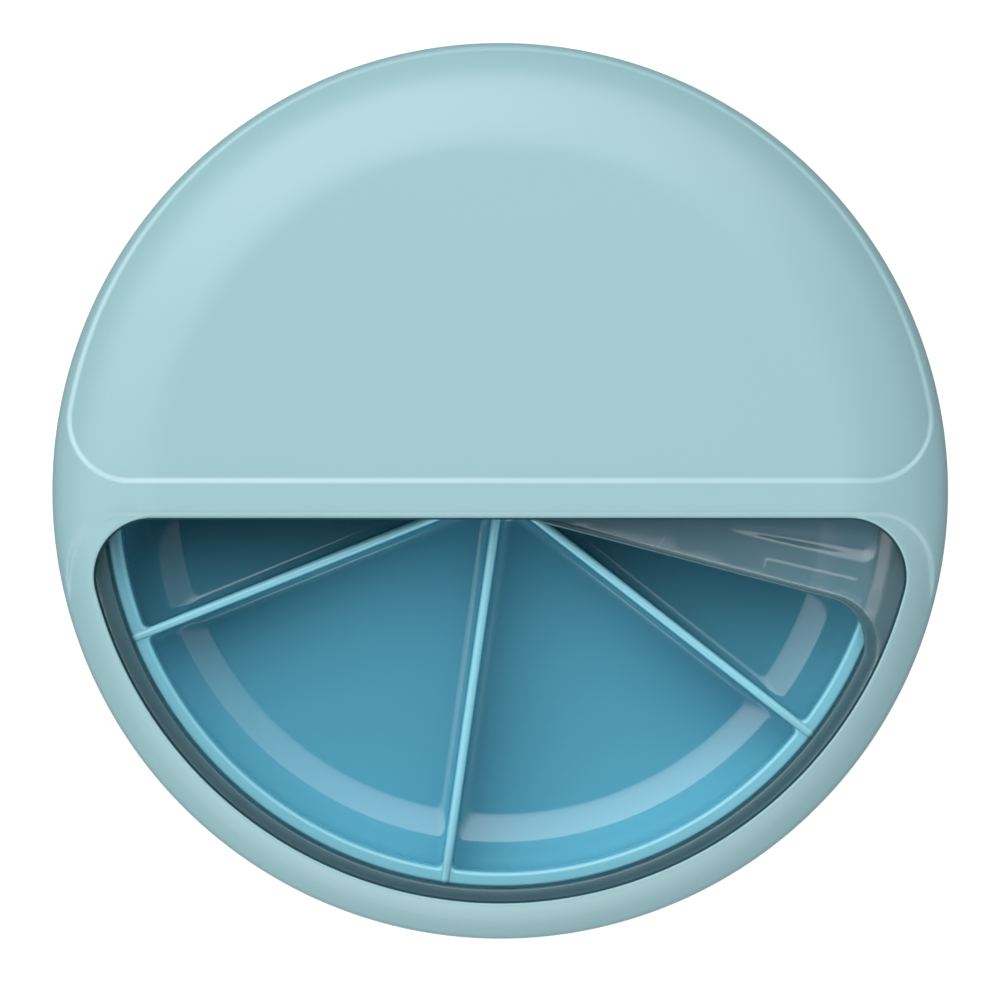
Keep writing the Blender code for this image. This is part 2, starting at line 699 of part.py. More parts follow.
def make_frames(parts):
    """Empties on the joint axes that carry the moving pieces."""
    frames = {}
    for name, location in (
        ("cover_axis", (0.0, 0.0, SKIRT_BOTTOM)),
        ("shutter_axis", (0.0, 0.0, SHUTTER_BOTTOM)),
    ):
        empty = bpy.data.objects.new(name, None)
        empty.location = location
        empty.empty_display_size = 10 * MM
        parts.objects.link(empty)
        frames[name] = empty
    frames["shutter_axis"].parent = frames["cover_axis"]
    frames["shutter_axis"].location.z -= SKIRT_BOTTOM
    return frames


def carry(axis, names):
    bpy.context.view_layer.update()
    for name in names:
        obj = bpy.data.objects[name]
        obj.parent = axis
        obj.matrix_parent_inverse = axis.matrix_world.inverted()


def main():
    clear_scene()
    parts = make_collection("rotary_pill_organiser")
    helpers = make_collection("helpers")
    helpers.hide_render = True

    pale_teal = make_material("pale_teal_plastic", (0.36, 0.59, 0.63), 0.38)
    blue = make_material("blue_tray_plastic", (0.16, 0.47, 0.62), 0.16)
    smoked = make_material("smoked_clear_plastic", (0.11, 0.22, 0.25), 0.05, alpha=0.3)
    white = make_material("white_acetal", (0.80, 0.82, 0.82), 0.35)
    grey_rubber = make_material("grey_rubber", (0.20, 0.22, 0.23), 0.85)
    steel = make_material("stainless_steel", (0.62, 0.63, 0.64), 0.25, 1.0)
    spring_steel = make_material("spring_steel", (0.45, 0.46, 0.48), 0.3, 1.0)
    brass = make_material("brass", (0.72, 0.52, 0.22), 0.3, 1.0)

    make_base(parts, helpers, pale_teal)
    make_tray(parts, helpers, blue)
    make_feet(parts, grey_rubber)
    make_detents(parts, white, spring_steel)
    ring("glide_ring", GLIDE_RING, parts, white, LARGE_STEPS)
    make_cap(parts, pale_teal)

    make_cover(parts, helpers, pale_teal)
    make_retainer(parts, helpers, pale_teal)
    make_screw(parts, helpers, steel)
    ring("pivot_sleeve", SLEEVE, parts, steel)
    ring("threaded_insert", INSERT, parts, brass)
    ring("head_washer", HEAD_WASHER, parts, steel)
    make_wave_washer(parts, spring_steel)

    make_shutter(parts, helpers, smoked)
    ring("shutter_washer", SHUTTER_WASHER, parts, white)

    frames = make_frames(parts)
    on_cover = (
        "cover_shell",
        "shutter_retainer",
        "pivot_screw",
        "pivot_sleeve",
        "threaded_insert",
        "head_washer",
        "wave_washer",
        "shutter_washer",
    )
    carry(frames["cover_axis"], on_cover)
    carry(frames["shutter_axis"], ("shutter",))


main()
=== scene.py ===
"""Looks of the rotary pill organiser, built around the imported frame. Shapes are worked out in millimetres."""
import json
import math
from collections import namedtuple

import bmesh
import bpy
import numpy as np
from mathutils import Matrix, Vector
from mathutils.geometry import delaunay_2d_cdt


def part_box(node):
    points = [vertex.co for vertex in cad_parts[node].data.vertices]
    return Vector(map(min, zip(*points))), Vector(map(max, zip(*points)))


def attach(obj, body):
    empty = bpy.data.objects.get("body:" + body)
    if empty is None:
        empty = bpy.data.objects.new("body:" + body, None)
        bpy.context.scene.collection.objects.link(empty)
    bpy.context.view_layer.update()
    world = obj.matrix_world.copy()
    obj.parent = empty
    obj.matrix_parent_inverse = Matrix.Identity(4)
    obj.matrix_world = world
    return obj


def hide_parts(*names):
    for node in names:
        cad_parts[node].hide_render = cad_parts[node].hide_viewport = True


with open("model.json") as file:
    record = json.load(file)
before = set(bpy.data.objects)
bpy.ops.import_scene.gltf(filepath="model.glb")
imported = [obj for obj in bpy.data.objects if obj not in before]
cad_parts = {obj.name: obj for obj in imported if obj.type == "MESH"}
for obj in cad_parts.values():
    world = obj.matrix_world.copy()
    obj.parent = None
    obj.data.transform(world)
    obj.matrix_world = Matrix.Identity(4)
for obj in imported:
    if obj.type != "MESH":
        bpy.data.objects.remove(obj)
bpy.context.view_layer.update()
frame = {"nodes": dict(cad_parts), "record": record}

MM = 0.001

# A circle cut by a chord, with rounded corners: the circle's radius, the chord's y, the corners' radius,
# the side of the chord that is kept (1 above it, -1 below it) and the circle's shift along y.
Segment = namedtuple("Segment", "radius chord corner side shift")


def box_mm(node):
    low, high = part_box(node)
    return np.array(low) / MM, np.array(high) / MM


COVER_LOW, COVER_HIGH = box_mm("cover_shell")
BASE_LOW, BASE_HIGH = box_mm("base_shell")
TRAY_LOW, TRAY_HIGH = box_mm("tray")
SHUTTER_LOW, SHUTTER_HIGH = box_mm("shutter")

# Points round a circle, and the spacing of points along the outlines in the cover's top face.
COLUMNS = 480
BORE_COLUMNS = 48
SPACING = 0.6

# Cover: a flat top, a barrel that bends down from it, a tighter shoulder and an upright side.
OUTER_RADIUS = COVER_HIGH[0]
GRIP_TOP = COVER_HIGH[2]
SKIRT_BOTTOM = COVER_LOW[2]
SKIRT_RADIUS = OUTER_RADIUS - 0.15
SKIRT_INNER = 54.1
SIDE_BOTTOM = SKIRT_BOTTOM + 2.9
FLAT_RADIUS = 41.3
GRIP_BEND = 16.5
SHOULDER_RADIUS = 53.6
SHOULDER_STEPS = 9
SKIN_RADIUS = 54.5
COVER_WALL = 2.0
# Inside the cover: the ceiling's edge as (radius, height), and the groove that the retainer snaps into as
# (radius, low, high), in the track between the glide ring and the ceiling.
CEILING_EDGE = (52.3, 22.0)
GLIDE_TOP = 15.3
TRACK_RADIUS = 53.1
TRACK_TOP = 21.5
SNAP_GROOVE = (53.7, 18.5, 19.6)
COVER_BOSS_RADIUS = 3.2
COVER_BOSS_BOTTOM = 22.7
INSERT_RADIUS = 2.2

# The dished field above the bar, the lowered ledge round the window and the window.
FIELD_OUTLINE = Segment(53.45, 1.25, 7.6, 1, 0.75)
LEDGE_OUTLINE = Segment(53.0, -2.85, 7.0, -1, -14.0)
WINDOW_OUTLINE = Segment(51.1, -3.3, 7.2, -1, 0.7)
FIELD_SINK = 0.4
# The field's depth below the barrel, along the bar and near the rim, and the width over which it deepens.
FIELD_CHORD_SINK = 0.26
FIELD_RIM_SINK = 0.44
FIELD_DEEPENING = 9.0
FIELD_TOP = GRIP_TOP - FIELD_SINK
FIELD_BEND = GRIP_BEND - FIELD_SINK
FIELD_STEP = 0.95
LEDGE_STEP = 1.0
WINDOW_FILLET = 0.45
WINDOW_DRAFT = 0.22
WINDOW_CHAMFER = 0.25
# The mesh attribute that carries a painted highlight along the field's edge, making it paler, and its half
# width.
EDGE_HIGHLIGHT = "edge_highlight"
EDGE_HIGHLIGHT_HALF_WIDTH = 0.5

# Tray.
RIM_TOP = TRAY_HIGH[2] - 0.4
RIM_RADIUS = 48.6
RIM_INNER = 46.8
RIM_SOFT = 0.35
TRAY_FLOOR = TRAY_LOW[2] + 1.3
TRAY_FLOOR_RADIUS = 39.75
TRAY_FILLET = 6.9
TRAY_FILLET_TOP = TRAY_FLOOR + TRAY_FILLET
TRAY_WALL = 1.3
COMPARTMENTS = 6
COMPARTMENT_ANGLE = 2 * math.pi / COMPARTMENTS
MOUTH_SOFT = 0.5
HUB_RADIUS = 3.1
PIVOT_BORE = 2.1
DIVIDER_TOP = TRAY_HIGH[2]
DIVIDER_HALF = 0.535
DIVIDER_ANGLE = math.radians(21.9)
DIVIDER_DRAFT = 0.2
DIVIDER_FOOT = 1.1

# Shutter: a plate with an opening, a raised lip round the opening, a finger hollow and a low bar.
SHUTTER_RADIUS = SHUTTER_HIGH[0]
SHUTTER_BOTTOM = SHUTTER_LOW[2]
SHUTTER_TOP = SHUTTER_BOTTOM + 1.2
SHUTTER_ANGLE = math.radians(-14.7)
SHUTTER_EDGE = 0.3
OPENING_OUTLINE = Segment(48.8, -2.5, 5.5, -1, 0.0)
LIP_OUTLINE = Segment(50.55, -1.85, 6.6, -1, 0.0)
LIP_HEIGHT = 0.08
LIP_STEP = 0.45
BAND_INNER = 46.6
BAND_OUTER = 50.75
BAND_SWELL = 0.2
BAND_SWELL_WIDTH = 2.2
# The hollow and the bar lie along two directions from the axis, between two radii.
SCOOP_ANGLE = math.radians(-9.0)
SCOOP_ENDS = (29.0, 45.0)
SCOOP_WIDTHS = (0.6, 1.9)
SCOOP_DEPTH = 0.3
MARK_ANGLE = math.radians(-13.0)
MARK_ENDS = (33.6, 45.0)
MARK_OFFSET = -1.35
MARK_HALF = 0.6
MARK_HEIGHT = 0.04
MARK_STEP = 0.25

# Base and feet.
BASE_TOP = 13.2
BASE_FLAT = 44.0
BASE_INNER = 51.4
BASE_FLOOR = 2.8
SPIGOT_RADIUS = 52.75
SPIGOT_TOP = 15.0
CAP_POCKET_RADIUS = 4.2
CAP_POCKET_TOP = 4.9
BASE_BOSS_RADIUS = 6.0
BASE_BOSS_TOP = 6.2
FOOT_CIRCLE = 34.0
FOOT_RADIUS = 4.0
FOOT_HEIGHT = 1.3
FOOT_RECESS = 0.6
FOOT_GAP = 0.3
DETENT_TUBE_RADIUS = 1.9
DETENT_BORE = 1.3
# The tubes start inside the wall, so that nothing shows on its outside.
DETENT_TUBE_BOTTOM = 5.45
DETENT_TUBE_TOP = 15.6


# ---------------------------------------------------------------- outlines

def radius_of(points):
    return np.hypot(points[:, 0], points[:, 1])


def circle_points(radius, count):
    angles = np.arange(count) * 2 * math.pi / count
    return np.stack([radius * np.cos(angles), radius * np.sin(angles)], axis=1)


def arc_points(centre, radius, start, end, spacing):
    count = max(int(math.ceil(abs(end - start) * radius / spacing)), 2)
    angles = np.linspace(start, end, count + 1)
    return np.stack([centre[0] + radius * np.cos(angles), centre[1] + radius * np.sin(angles)], axis=1)


def segment_points(outline, spacing, offset=0.0):
    """Closed outline of a segment grown outwards by offset, with as many points as without the offset."""
    radius, corner = outline.radius + offset, outline.corner + offset
    level = outline.side * (outline.chord - outline.shift) - offset + corner
    across = math.sqrt((radius - corner) ** 2 - level**2)
    tilt = math.atan2(level, across)
    corner_step = spacing * corner / outline.corner
    right = arc_points((across, level), corner, -math.pi / 2, tilt, corner_step)
    far = arc_points((0.0, 0.0), radius, tilt, math.pi - tilt, spacing * radius / outline.radius)
    left = arc_points((-across, level), corner, math.pi - tilt, 1.5 * math.pi, corner_step)
    count = int(math.ceil(2 * across / spacing))
    line_x = np.linspace(-across, across, count + 1)
    line = np.stack([line_x, np.full(count + 1, level - corner)], axis=1)
    points = np.concatenate([right[:-1], far[:-1], left[:-1], line[:-1]])
    return np.stack([points[:, 0], outline.side * points[:, 1] + outline.shift], axis=1)


def segment_distance(outline, x, y):
    """Signed distance to the same outline, negative inside."""
    corner = outline.corner
    inner = outline.radius - corner
    level = outline.side * (outline.chord - outline.shift) + corner
    across = math.sqrt(inner**2 - level**2)
    y = outline.side * (y - outline.shift)
    r = np.hypot(x, y)
    beyond_arc, below_chord = r - inner, level - y
    inside = (beyond_arc <= 0) & (below_chord <= 0)
    to_corner = np.hypot(np.abs(x) - across, y - level)
    on_arc = (beyond_arc > 0) & (y * inner >= level * r)
    on_chord = (below_chord > 0) & (np.abs(x) <= across)
    outside = np.where(on_arc, beyond_arc, np.where(on_chord, below_chord, to_corner))
    return np.where(inside, np.maximum(beyond_arc, below_chord), outside) - corner


def loop_of(count, start=0):
    """Numbers of points that follow each other in a cloud, as one closed loop."""
    return list(range(start, start + count))


def turned_about(points, angle):
    c, s = math.cos(angle), math.sin(angle)
    return np.stack([points[:, 0] * c - points[:, 1] * s, points[:, 0] * s + points[:, 1] * c], axis=1)


def spread(points, taken, gap):
    """Drops the points that lie within gap of a point already taken."""
    cells = {}
    for p in taken:
        cells.setdefault((int(p[0] // gap), int(p[1] // gap)), []).append(p)
    kept = []
    for p in points:
        i, j = int(p[0] // gap), int(p[1] // gap)
        near = (q for a in (-1, 0, 1) for b in (-1, 0, 1) for q in cells.get((i + a, j + b), ()))
        if all((p[0] - q[0]) ** 2 + (p[1] - q[1]) ** 2 >= gap * gap for q in near):
            kept.append(p)
    return np.array(kept).reshape(-1, 2)


def grid_points(radius, spacing):
    """Staggered grid over a disc."""
    rows = np.arange(-radius, radius, spacing * 0.866)
    points = []
    for i, y in enumerate(rows):
        x = np.arange(-radius + (i % 2) * spacing / 2, radius, spacing)
        points.append(np.stack([x, np.full(len(x), y)], axis=1))
    points = np.concatenate(points)
    return points[radius_of(points) < radius]


# ---------------------------------------------------------------- meshes

def smoothstep(t):
    t = np.clip(t, 0.0, 1.0)
    return t * t * t * (t * (6 * t - 15) + 10)


def triangulated(points, loops, keep):
    """Triangles over the points with the loops as edges; keep(x, y) picks them by their middle."""
    edges = [(loop[i], loop[(i + 1) % len(loop)]) for loop in loops for i in range(len(loop))]
    flat = [Vector((float(x), float(y))) for x, y in points]
    verts, _, faces, _, _, _ = delaunay_2d_cdt(flat, edges, [], 0, 1e-6, True)
    xy = np.array([(v[0], v[1]) for v in verts])
    tris = np.array([f for f in faces if len(f) == 3], int)
    middle = xy[tris].mean(axis=1)
    tris = tris[keep(middle[:, 0], middle[:, 1])]
    a, b, c = xy[tris[:, 0]], xy[tris[:, 1]], xy[tris[:, 2]]
    turn = (b[:, 0] - a[:, 0]) * (c[:, 1] - a[:, 1]) - (b[:, 1] - a[:, 1]) * (c[:, 0] - a[:, 0])
    tris[turn < 0] = tris[turn < 0][:, ::-1]
    return xy, tris[np.abs(turn) > 1e-9]


class Shape:
    """Collects faces in millimetres and makes one mesh of them; points closer than merge become one."""

    merge = 2e-4

    def __init__(self):
        self.verts = []
        self.faces = []

    def add(self, points, faces):
        start = sum(len(v) for v in self.verts)
        self.verts.append(np.asarray(points, float))
        self.faces += [tuple(int(i) + start for i in face) for face in faces]

    def skin(self, xy, tris, z, flip=False):
        points = np.column_stack([xy, z])
        self.add(points, tris[:, ::-1] if flip else tris)

    def loft(self, rings):
        """Quads between closed rings of equally many points."""
        count = len(rings[0])
        faces = []
        for low in range(0, (len(rings) - 1) * count, count):
            for i in range(count):
                j = (i + 1) % count
                faces.append((low + i, low + j, low + count + j, low + count + i))
        self.add(np.concatenate(rings), faces)

    def turn(self, profile, count):
        """A surface of revolution through (radius, height) points, going down its outer side."""
        rings = [ring_at(circle_points(max(radius, 1e-6), count), height) for radius, height in profile]
        self.loft(rings[::-1])

    def build(self, name, angle):
        """The mesh object, with edges sharper than angle, in degrees, kept sharp."""
        mesh = bpy.data.meshes.new(name)
        points = np.concatenate(self.verts) * MM
        mesh.from_pydata(points.tolist(), [], self.faces)
        work = bmesh.new()
        work.from_mesh(mesh)
        bmesh.ops.remove_doubles(work, verts=work.verts, dist=self.merge * MM)
        bmesh.ops.dissolve_degenerate(work, edges=work.edges, dist=1e-8)
        work.to_mesh(mesh)
        work.free()
        mesh.shade_smooth()
        mesh.set_sharp_from_angle(angle=math.radians(angle))
        obj = bpy.data.objects.new(name, mesh)
        bpy.context.scene.collection.objects.link(obj)
        return obj


def ring_at(points, height):
    return np.column_stack([points, np.full(len(points), height)])


def face_middles(mesh):
    return np.array([face.center for face in mesh.polygons]) / MM


def assign(piece, body, node=None):
    """Puts a piece on its body and, if it stands in for a CAD node, hides that node, whose place it takes."""
    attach(piece, body)
    if node is not None:
        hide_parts(node)
    return piece


# ---------------------------------------------------------------- cover

def domed(radius, top, bend):
    beyond = np.maximum(radius - FLAT_RADIUS, 0.0)
    return top - bend + np.sqrt(np.maximum(bend**2 - beyond**2, 0.01))


SHOULDER_SLOPE = math.asin((SHOULDER_RADIUS - FLAT_RADIUS) / GRIP_BEND)
SHOULDER_BEND = (OUTER_RADIUS - SHOULDER_RADIUS) / (1 - math.sin(SHOULDER_SLOPE))
SHOULDER_MIDDLE = (
    OUTER_RADIUS - SHOULDER_BEND,
    GRIP_TOP - GRIP_BEND * (1 - math.cos(SHOULDER_SLOPE)) - SHOULDER_BEND * math.cos(SHOULDER_SLOPE),
)


def grip_height(radius):
    """Height of the barrel: flat, an arc, then the tighter shoulder."""
    across = np.clip((radius - SHOULDER_MIDDLE[0]) / SHOULDER_BEND, 0.0, 0.999)
    shoulder = SHOULDER_MIDDLE[1] + SHOULDER_BEND * np.sqrt(1 - across**2)
    return np.where(radius < SHOULDER_RADIUS, domed(radius, GRIP_TOP, GRIP_BEND), shoulder)


def cover_height(x, y):
    """Height of the cover's top face: the barrel, lowered inside the field's and the ledge's outlines."""
    radius = np.hypot(x, y)
    grip = grip_height(radius)
    ledge = np.minimum(domed(radius, FIELD_TOP, FIELD_BEND), grip)
    deeper = smoothstep((radius - FLAT_RADIUS) / FIELD_DEEPENING)
    field = grip - FIELD_CHORD_SINK - (FIELD_RIM_SINK - FIELD_CHORD_SINK) * deeper
    height = grip
    for outline, width, level in ((FIELD_OUTLINE, FIELD_STEP, field), (LEDGE_OUTLINE, LEDGE_STEP, ledge)):
        inside = smoothstep(0.5 - segment_distance(outline, x, y) / width)
        height = height + (level - grip) * inside
    edge = segment_distance(WINDOW_OUTLINE, x, y)
    sunk = np.clip(WINDOW_FILLET - edge, 0.0, WINDOW_FILLET)
    return height - (WINDOW_FILLET - np.sqrt(WINDOW_FILLET**2 - sunk**2))


def ceiling_height(radius):
    return np.maximum(domed(radius, FIELD_TOP, FIELD_BEND) - COVER_WALL, CEILING_EDGE[1])


def window_distance(points):
    return segment_distance(WINDOW_OUTLINE, points[:, 0], points[:, 1])


def add_top_skin(shape):
    """The top face between the window and the skin's rim, with rows of points along every step in it."""
    fillet = [WINDOW_FILLET * (1 - math.cos(a)) for a in np.linspace(0, math.pi / 2, 7)]
    beyond = [WINDOW_FILLET + 0.07 * i for i in range(1, 10)]
    window = [segment_points(WINDOW_OUTLINE, SPACING, e) for e in fillet + beyond]
    rim = circle_points(SKIN_RADIUS, COLUMNS)
    taken = np.concatenate(window)
    points = [rim, *window]

    def add(candidates, gap):
        nonlocal taken
        free = (window_distance(candidates) > beyond[-1]) & (radius_of(candidates) < SKIN_RADIUS - 0.05)
        chosen = spread(candidates[free], taken, gap)
        points.append(chosen)
        taken = np.concatenate([taken, chosen])

    for offset in np.linspace(-0.55, 0.55, 15):
        add(segment_points(FIELD_OUTLINE, SPACING, offset), 0.06)
    for offset in np.linspace(-0.32, 0.32, 11):
        add(segment_points(LEDGE_OUTLINE, SPACING, offset), 0.05)
    fine_end = 52.5
    for radius in np.arange(SKIN_RADIUS - 0.12, fine_end, -0.15):
        add(circle_points(radius, COLUMNS), 0.1)
    for radius in np.arange(fine_end - 0.1, FLAT_RADIUS - 2.5, -0.6):
        add(circle_points(radius, COLUMNS // 2), 0.3)
    add(grid_points(FLAT_RADIUS - 2.8, 2.0), 0.6)

    xy, tris = triangulated(
        np.concatenate(points),
        [loop_of(COLUMNS), loop_of(len(window[0]), COLUMNS)],
        lambda x, y: (np.hypot(x, y) < SKIN_RADIUS) & (segment_distance(WINDOW_OUTLINE, x, y) > 0),
    )
    shape.skin(xy, tris, cover_height(xy[:, 0], xy[:, 1]))


def add_window_wall(shape):
    """The window's leaning wall and the small chamfer under it."""
    mouth = segment_points(WINDOW_OUTLINE, SPACING)
    top = cover_height(mouth[:, 0], mouth[:, 1])
    bottom = ceiling_height(radius_of(mouth)) + WINDOW_CHAMFER
    walls = []
    for share in np.linspace(0.0, 1.0, 7):
        lean = segment_points(WINDOW_OUTLINE, SPACING, -WINDOW_DRAFT * share)
        walls.append(np.column_stack([lean, top + (bottom - top) * share]))
    chamfer = segment_points(WINDOW_OUTLINE, SPACING, WINDOW_CHAMFER)
    shape.loft([*walls, np.column_stack([chamfer, ceiling_height(radius_of(chamfer))])])


def add_ceiling(shape):
    """The cover's inner face, seen from below."""
    edge_radius = CEILING_EDGE[0]
    chamfer = segment_points(WINDOW_OUTLINE, SPACING, WINDOW_CHAMFER)
    body = [circle_points(r, COLUMNS // 4) for r in np.arange(edge_radius - 0.7, FLAT_RADIUS - 1, -0.8)]
    body = np.concatenate([*body, grid_points(FLAT_RADIUS - 1.8, 4.0)])
    body = body[window_distance(body) > 0.7]

    def solid(x, y):
        return (np.hypot(x, y) < edge_radius) & (segment_distance(WINDOW_OUTLINE, x, y) > WINDOW_CHAMFER)

    xy, tris = triangulated(
        np.concatenate([circle_points(edge_radius, COLUMNS), chamfer, body]),
        [loop_of(COLUMNS), loop_of(len(chamfer), COLUMNS)],
        solid,
    )
    shape.skin(xy, tris, ceiling_height(radius_of(xy)), flip=True)


def cover_side():
    """Profile from the top skin's rim down the outside, round the skirt and up inside to the ceiling."""
    start = math.acos((SKIN_RADIUS - SHOULDER_MIDDLE[0]) / SHOULDER_BEND)
    shoulder = [
        (SHOULDER_MIDDLE[0] + SHOULDER_BEND * math.cos(a), SHOULDER_MIDDLE[1] + SHOULDER_BEND * math.sin(a))
        for a in np.linspace(start, 0.0, SHOULDER_STEPS)
    ]
    soft = 0.25
    edge = [
        (SKIRT_RADIUS - soft + soft * math.cos(a), SKIRT_BOTTOM + soft + soft * math.sin(a))
        for a in np.linspace(0.0, -math.pi / 2, 5)
    ]
    groove_radius, groove_low, groove_high = SNAP_GROOVE
    inside = [
        (SKIRT_INNER, SKIRT_BOTTOM),
        (SKIRT_INNER, GLIDE_TOP),
        (TRACK_RADIUS, GLIDE_TOP),
        (TRACK_RADIUS, groove_low),
        (groove_radius, groove_low),
        (groove_radius, groove_high),
        (TRACK_RADIUS, groove_high),
        (TRACK_RADIUS, TRACK_TOP),
    ]
    return [*shoulder, (OUTER_RADIUS, SIDE_BOTTOM), *edge, *inside, CEILING_EDGE]


def add_cover_side(shape):
    """The side; its first rings follow the rim of the top face, which the ledge lowers."""
    rim = circle_points(SKIN_RADIUS, COLUMNS)
    drop = grip_height(radius_of(rim)) - cover_height(rim[:, 0], rim[:, 1])
    side = cover_side()
    shoulder_height = side[0][1] - SHOULDER_MIDDLE[1]
    rings = []
    for k, (radius, height) in enumerate(side):
        share = (height - SHOULDER_MIDDLE[1]) / shoulder_height if k < SHOULDER_STEPS else 0.0
        rings.append(ring_at(circle_points(radius, COLUMNS), height - drop * share))
    shape.loft(rings[::-1])


def make_cover():
    shape = Shape()
    add_top_skin(shape)
    add_window_wall(shape)
    add_ceiling(shape)
    add_cover_side(shape)
    return assign(shape.build("cover_moulding", 50.0), "cover", "cover_shell")


def make_cover_boss():
    """The boss under the cover's middle that holds the threaded insert."""
    shape = Shape()
    top = FIELD_TOP - COVER_WALL
    outside = [
        (COVER_BOSS_RADIUS, top + 0.1),
        (COVER_BOSS_RADIUS, COVER_BOSS_BOTTOM + 0.15),
        (COVER_BOSS_RADIUS - 0.15, COVER_BOSS_BOTTOM),
    ]
    bore = [
        (INSERT_RADIUS + 0.1, COVER_BOSS_BOTTOM),
        (INSERT_RADIUS, COVER_BOSS_BOTTOM + 0.1),
        (INSERT_RADIUS, top + 0.3),
        (1e-5, top + 0.3),
    ]
    shape.turn([*outside, *bore], 64)
    return assign(shape.build("cover_boss", 40.0), "cover")


def paint_edge_highlight(mesh):
    """Attribute that is 1 along the field's edge on the top face, where a painted highlight makes the moulding
    paler.
    """
    points = np.array([v.co for v in mesh.vertices]) / MM
    x, y, z = points.T
    near = smoothstep(1.0 - np.abs(segment_distance(FIELD_OUTLINE, x, y)) / EDGE_HIGHLIGHT_HALF_WIDTH)
    on_top = z > cover_height(x, y) - 0.1
    left = smoothstep(0.5 - x / (2 * OUTER_RADIUS))
    below = smoothstep(1.0 - (y - FIELD_OUTLINE.chord) / OUTER_RADIUS)
    # Painted highlight, stronger on the left and lower parts of the edge, where more light falls.
    values = near * on_top * (0.35 + 0.65 * left) * (0.25 + 0.75 * below)
    edge_highlight = mesh.attributes.new(EDGE_HIGHLIGHT, "FLOAT", "POINT")
    edge_highlight.data.foreach_set("value", values.astype(np.float32))


def paint_window_wall_shade(mesh):
    """Gives the window's wall, below its rounded edge, the second material, a painted shade that darkens it for
    the shadow under the window's edge.
    """
    inside = window_distance(face_middles(mesh)) < 0
    for face, shaded in zip(mesh.polygons, inside):
        face.material_index = int(shaded)


# ---------------------------------------------------------------- tray

# One level of a compartment: its height, the outer wall's radius, how far each side stands in from the
# divider's top edge, and the radii of the hub and of the outer corners.
Level = namedtuple("Level", "height wall inset hub corner")


def pocket_outline(level):
    """Closed outline of one compartment about +X at one level."""
    half = COMPARTMENT_ANGLE / 2
    side = DIVIDER_HALF + level.inset
    hub_tilt = math.asin(side / level.hub)
    hub_angles = np.linspace(half - hub_tilt, hub_tilt - half, 9)
    hub = np.stack([level.hub * np.cos(hub_angles), level.hub * np.sin(hub_angles)], axis=1)
    along = np.array([math.cos(-half), math.sin(-half)])
    inward = np.array([math.sin(half), math.cos(half)])
    reach = math.sqrt((level.wall - level.corner) ** 2 - (side + level.corner) ** 2)
    centre = along * reach + inward * (side + level.corner)
    start = along * (level.hub * math.cos(hub_tilt)) + inward * side
    end = along * reach + inward * side
    line = start + (end - start) * np.linspace(0, 1, 25)[1:, None]
    bend_from = math.atan2(-inward[1], -inward[0])
    bend_to = math.atan2(centre[1], centre[0])
    angles = np.linspace(bend_from, bend_to, 9)[1:]
    bend = centre + level.corner * np.stack([np.cos(angles), np.sin(angles)], axis=1)
    lower = np.concatenate([line, bend])
    sweep = np.linspace(bend_to, -bend_to, 97)[1:-1]
    far = np.stack([level.wall * np.cos(sweep), level.wall * np.sin(sweep)], axis=1)
    upper = lower[::-1] * (1, -1)
    return np.concatenate([hub, lower, far, upper])


def pocket_levels():
    """The levels of a compartment, from its rounded mouth down the wall and the fillet to the floor."""
    levels = []
    for a in np.linspace(0.0, math.pi / 2, 9):
        grow = MOUTH_SOFT * (1 - math.sin(a))
        height = RIM_TOP - MOUTH_SOFT * (1 - math.cos(a))
        levels.append(Level(height, RIM_INNER + grow, -grow * 0.4, HUB_RADIUS, 0.8))
    foot = TRAY_FLOOR + DIVIDER_FOOT
    heights = list(np.linspace(RIM_TOP - MOUTH_SOFT, TRAY_FILLET_TOP, 6)[1:-1])
    heights += [TRAY_FILLET_TOP - TRAY_FILLET * math.sin(a) for a in np.linspace(0, math.radians(58), 26)]
    heights += [foot - DIVIDER_FOOT * math.sin(a) for a in np.linspace(0, math.pi / 2, 12)]
    for height in sorted(set(round(h, 5) for h in heights), reverse=True):
        if height > TRAY_FILLET_TOP:
            share = (RIM_TOP - height) / (RIM_TOP - TRAY_FILLET_TOP)
            wall = RIM_INNER - (RIM_INNER - TRAY_FLOOR_RADIUS - TRAY_FILLET) * share
        else:
            wall = TRAY_FLOOR_RADIUS + math.sqrt(max(TRAY_FILLET**2 - (TRAY_FILLET_TOP - height) ** 2, 0))
        rise = max(foot - height, 0.0)
        toe = DIVIDER_FOOT - math.sqrt(max(DIVIDER_FOOT**2 - rise**2, 0))
        inset = DIVIDER_DRAFT * (RIM_TOP - height) / (RIM_TOP - TRAY_FLOOR) + toe
        levels.append(Level(height, wall, inset, HUB_RADIUS + inset, 0.9))
    last = levels[-1]
    levels.append(Level(last.height, last.wall - 0.15, last.inset + 0.15, last.hub + 0.15, last.corner))
    return levels


def on_rim(x, y, mouth):
    """Whether a point is on the tray's flat top, outside the compartments' mouths and the bore."""
    r = np.hypot(x, y)
    angle = (np.arctan2(y, x) - DIVIDER_ANGLE) % COMPARTMENT_ANGLE
    gap = np.minimum(r * np.sin(angle), r * np.sin(COMPARTMENT_ANGLE - angle))
    side = DIVIDER_HALF + mouth.inset
    in_pocket = (gap > side) & (r < mouth.wall) & (r > mouth.hub)
    past_wall, past_side = r - (mouth.wall - mouth.corner), gap - (side + mouth.corner)
    cut_off = (past_wall > 0) & (past_side < 0) & (np.hypot(past_wall, past_side) > mouth.corner)
    return (r < RIM_RADIUS - RIM_SOFT) & (r > PIVOT_BORE) & ~(in_pocket & ~cut_off)


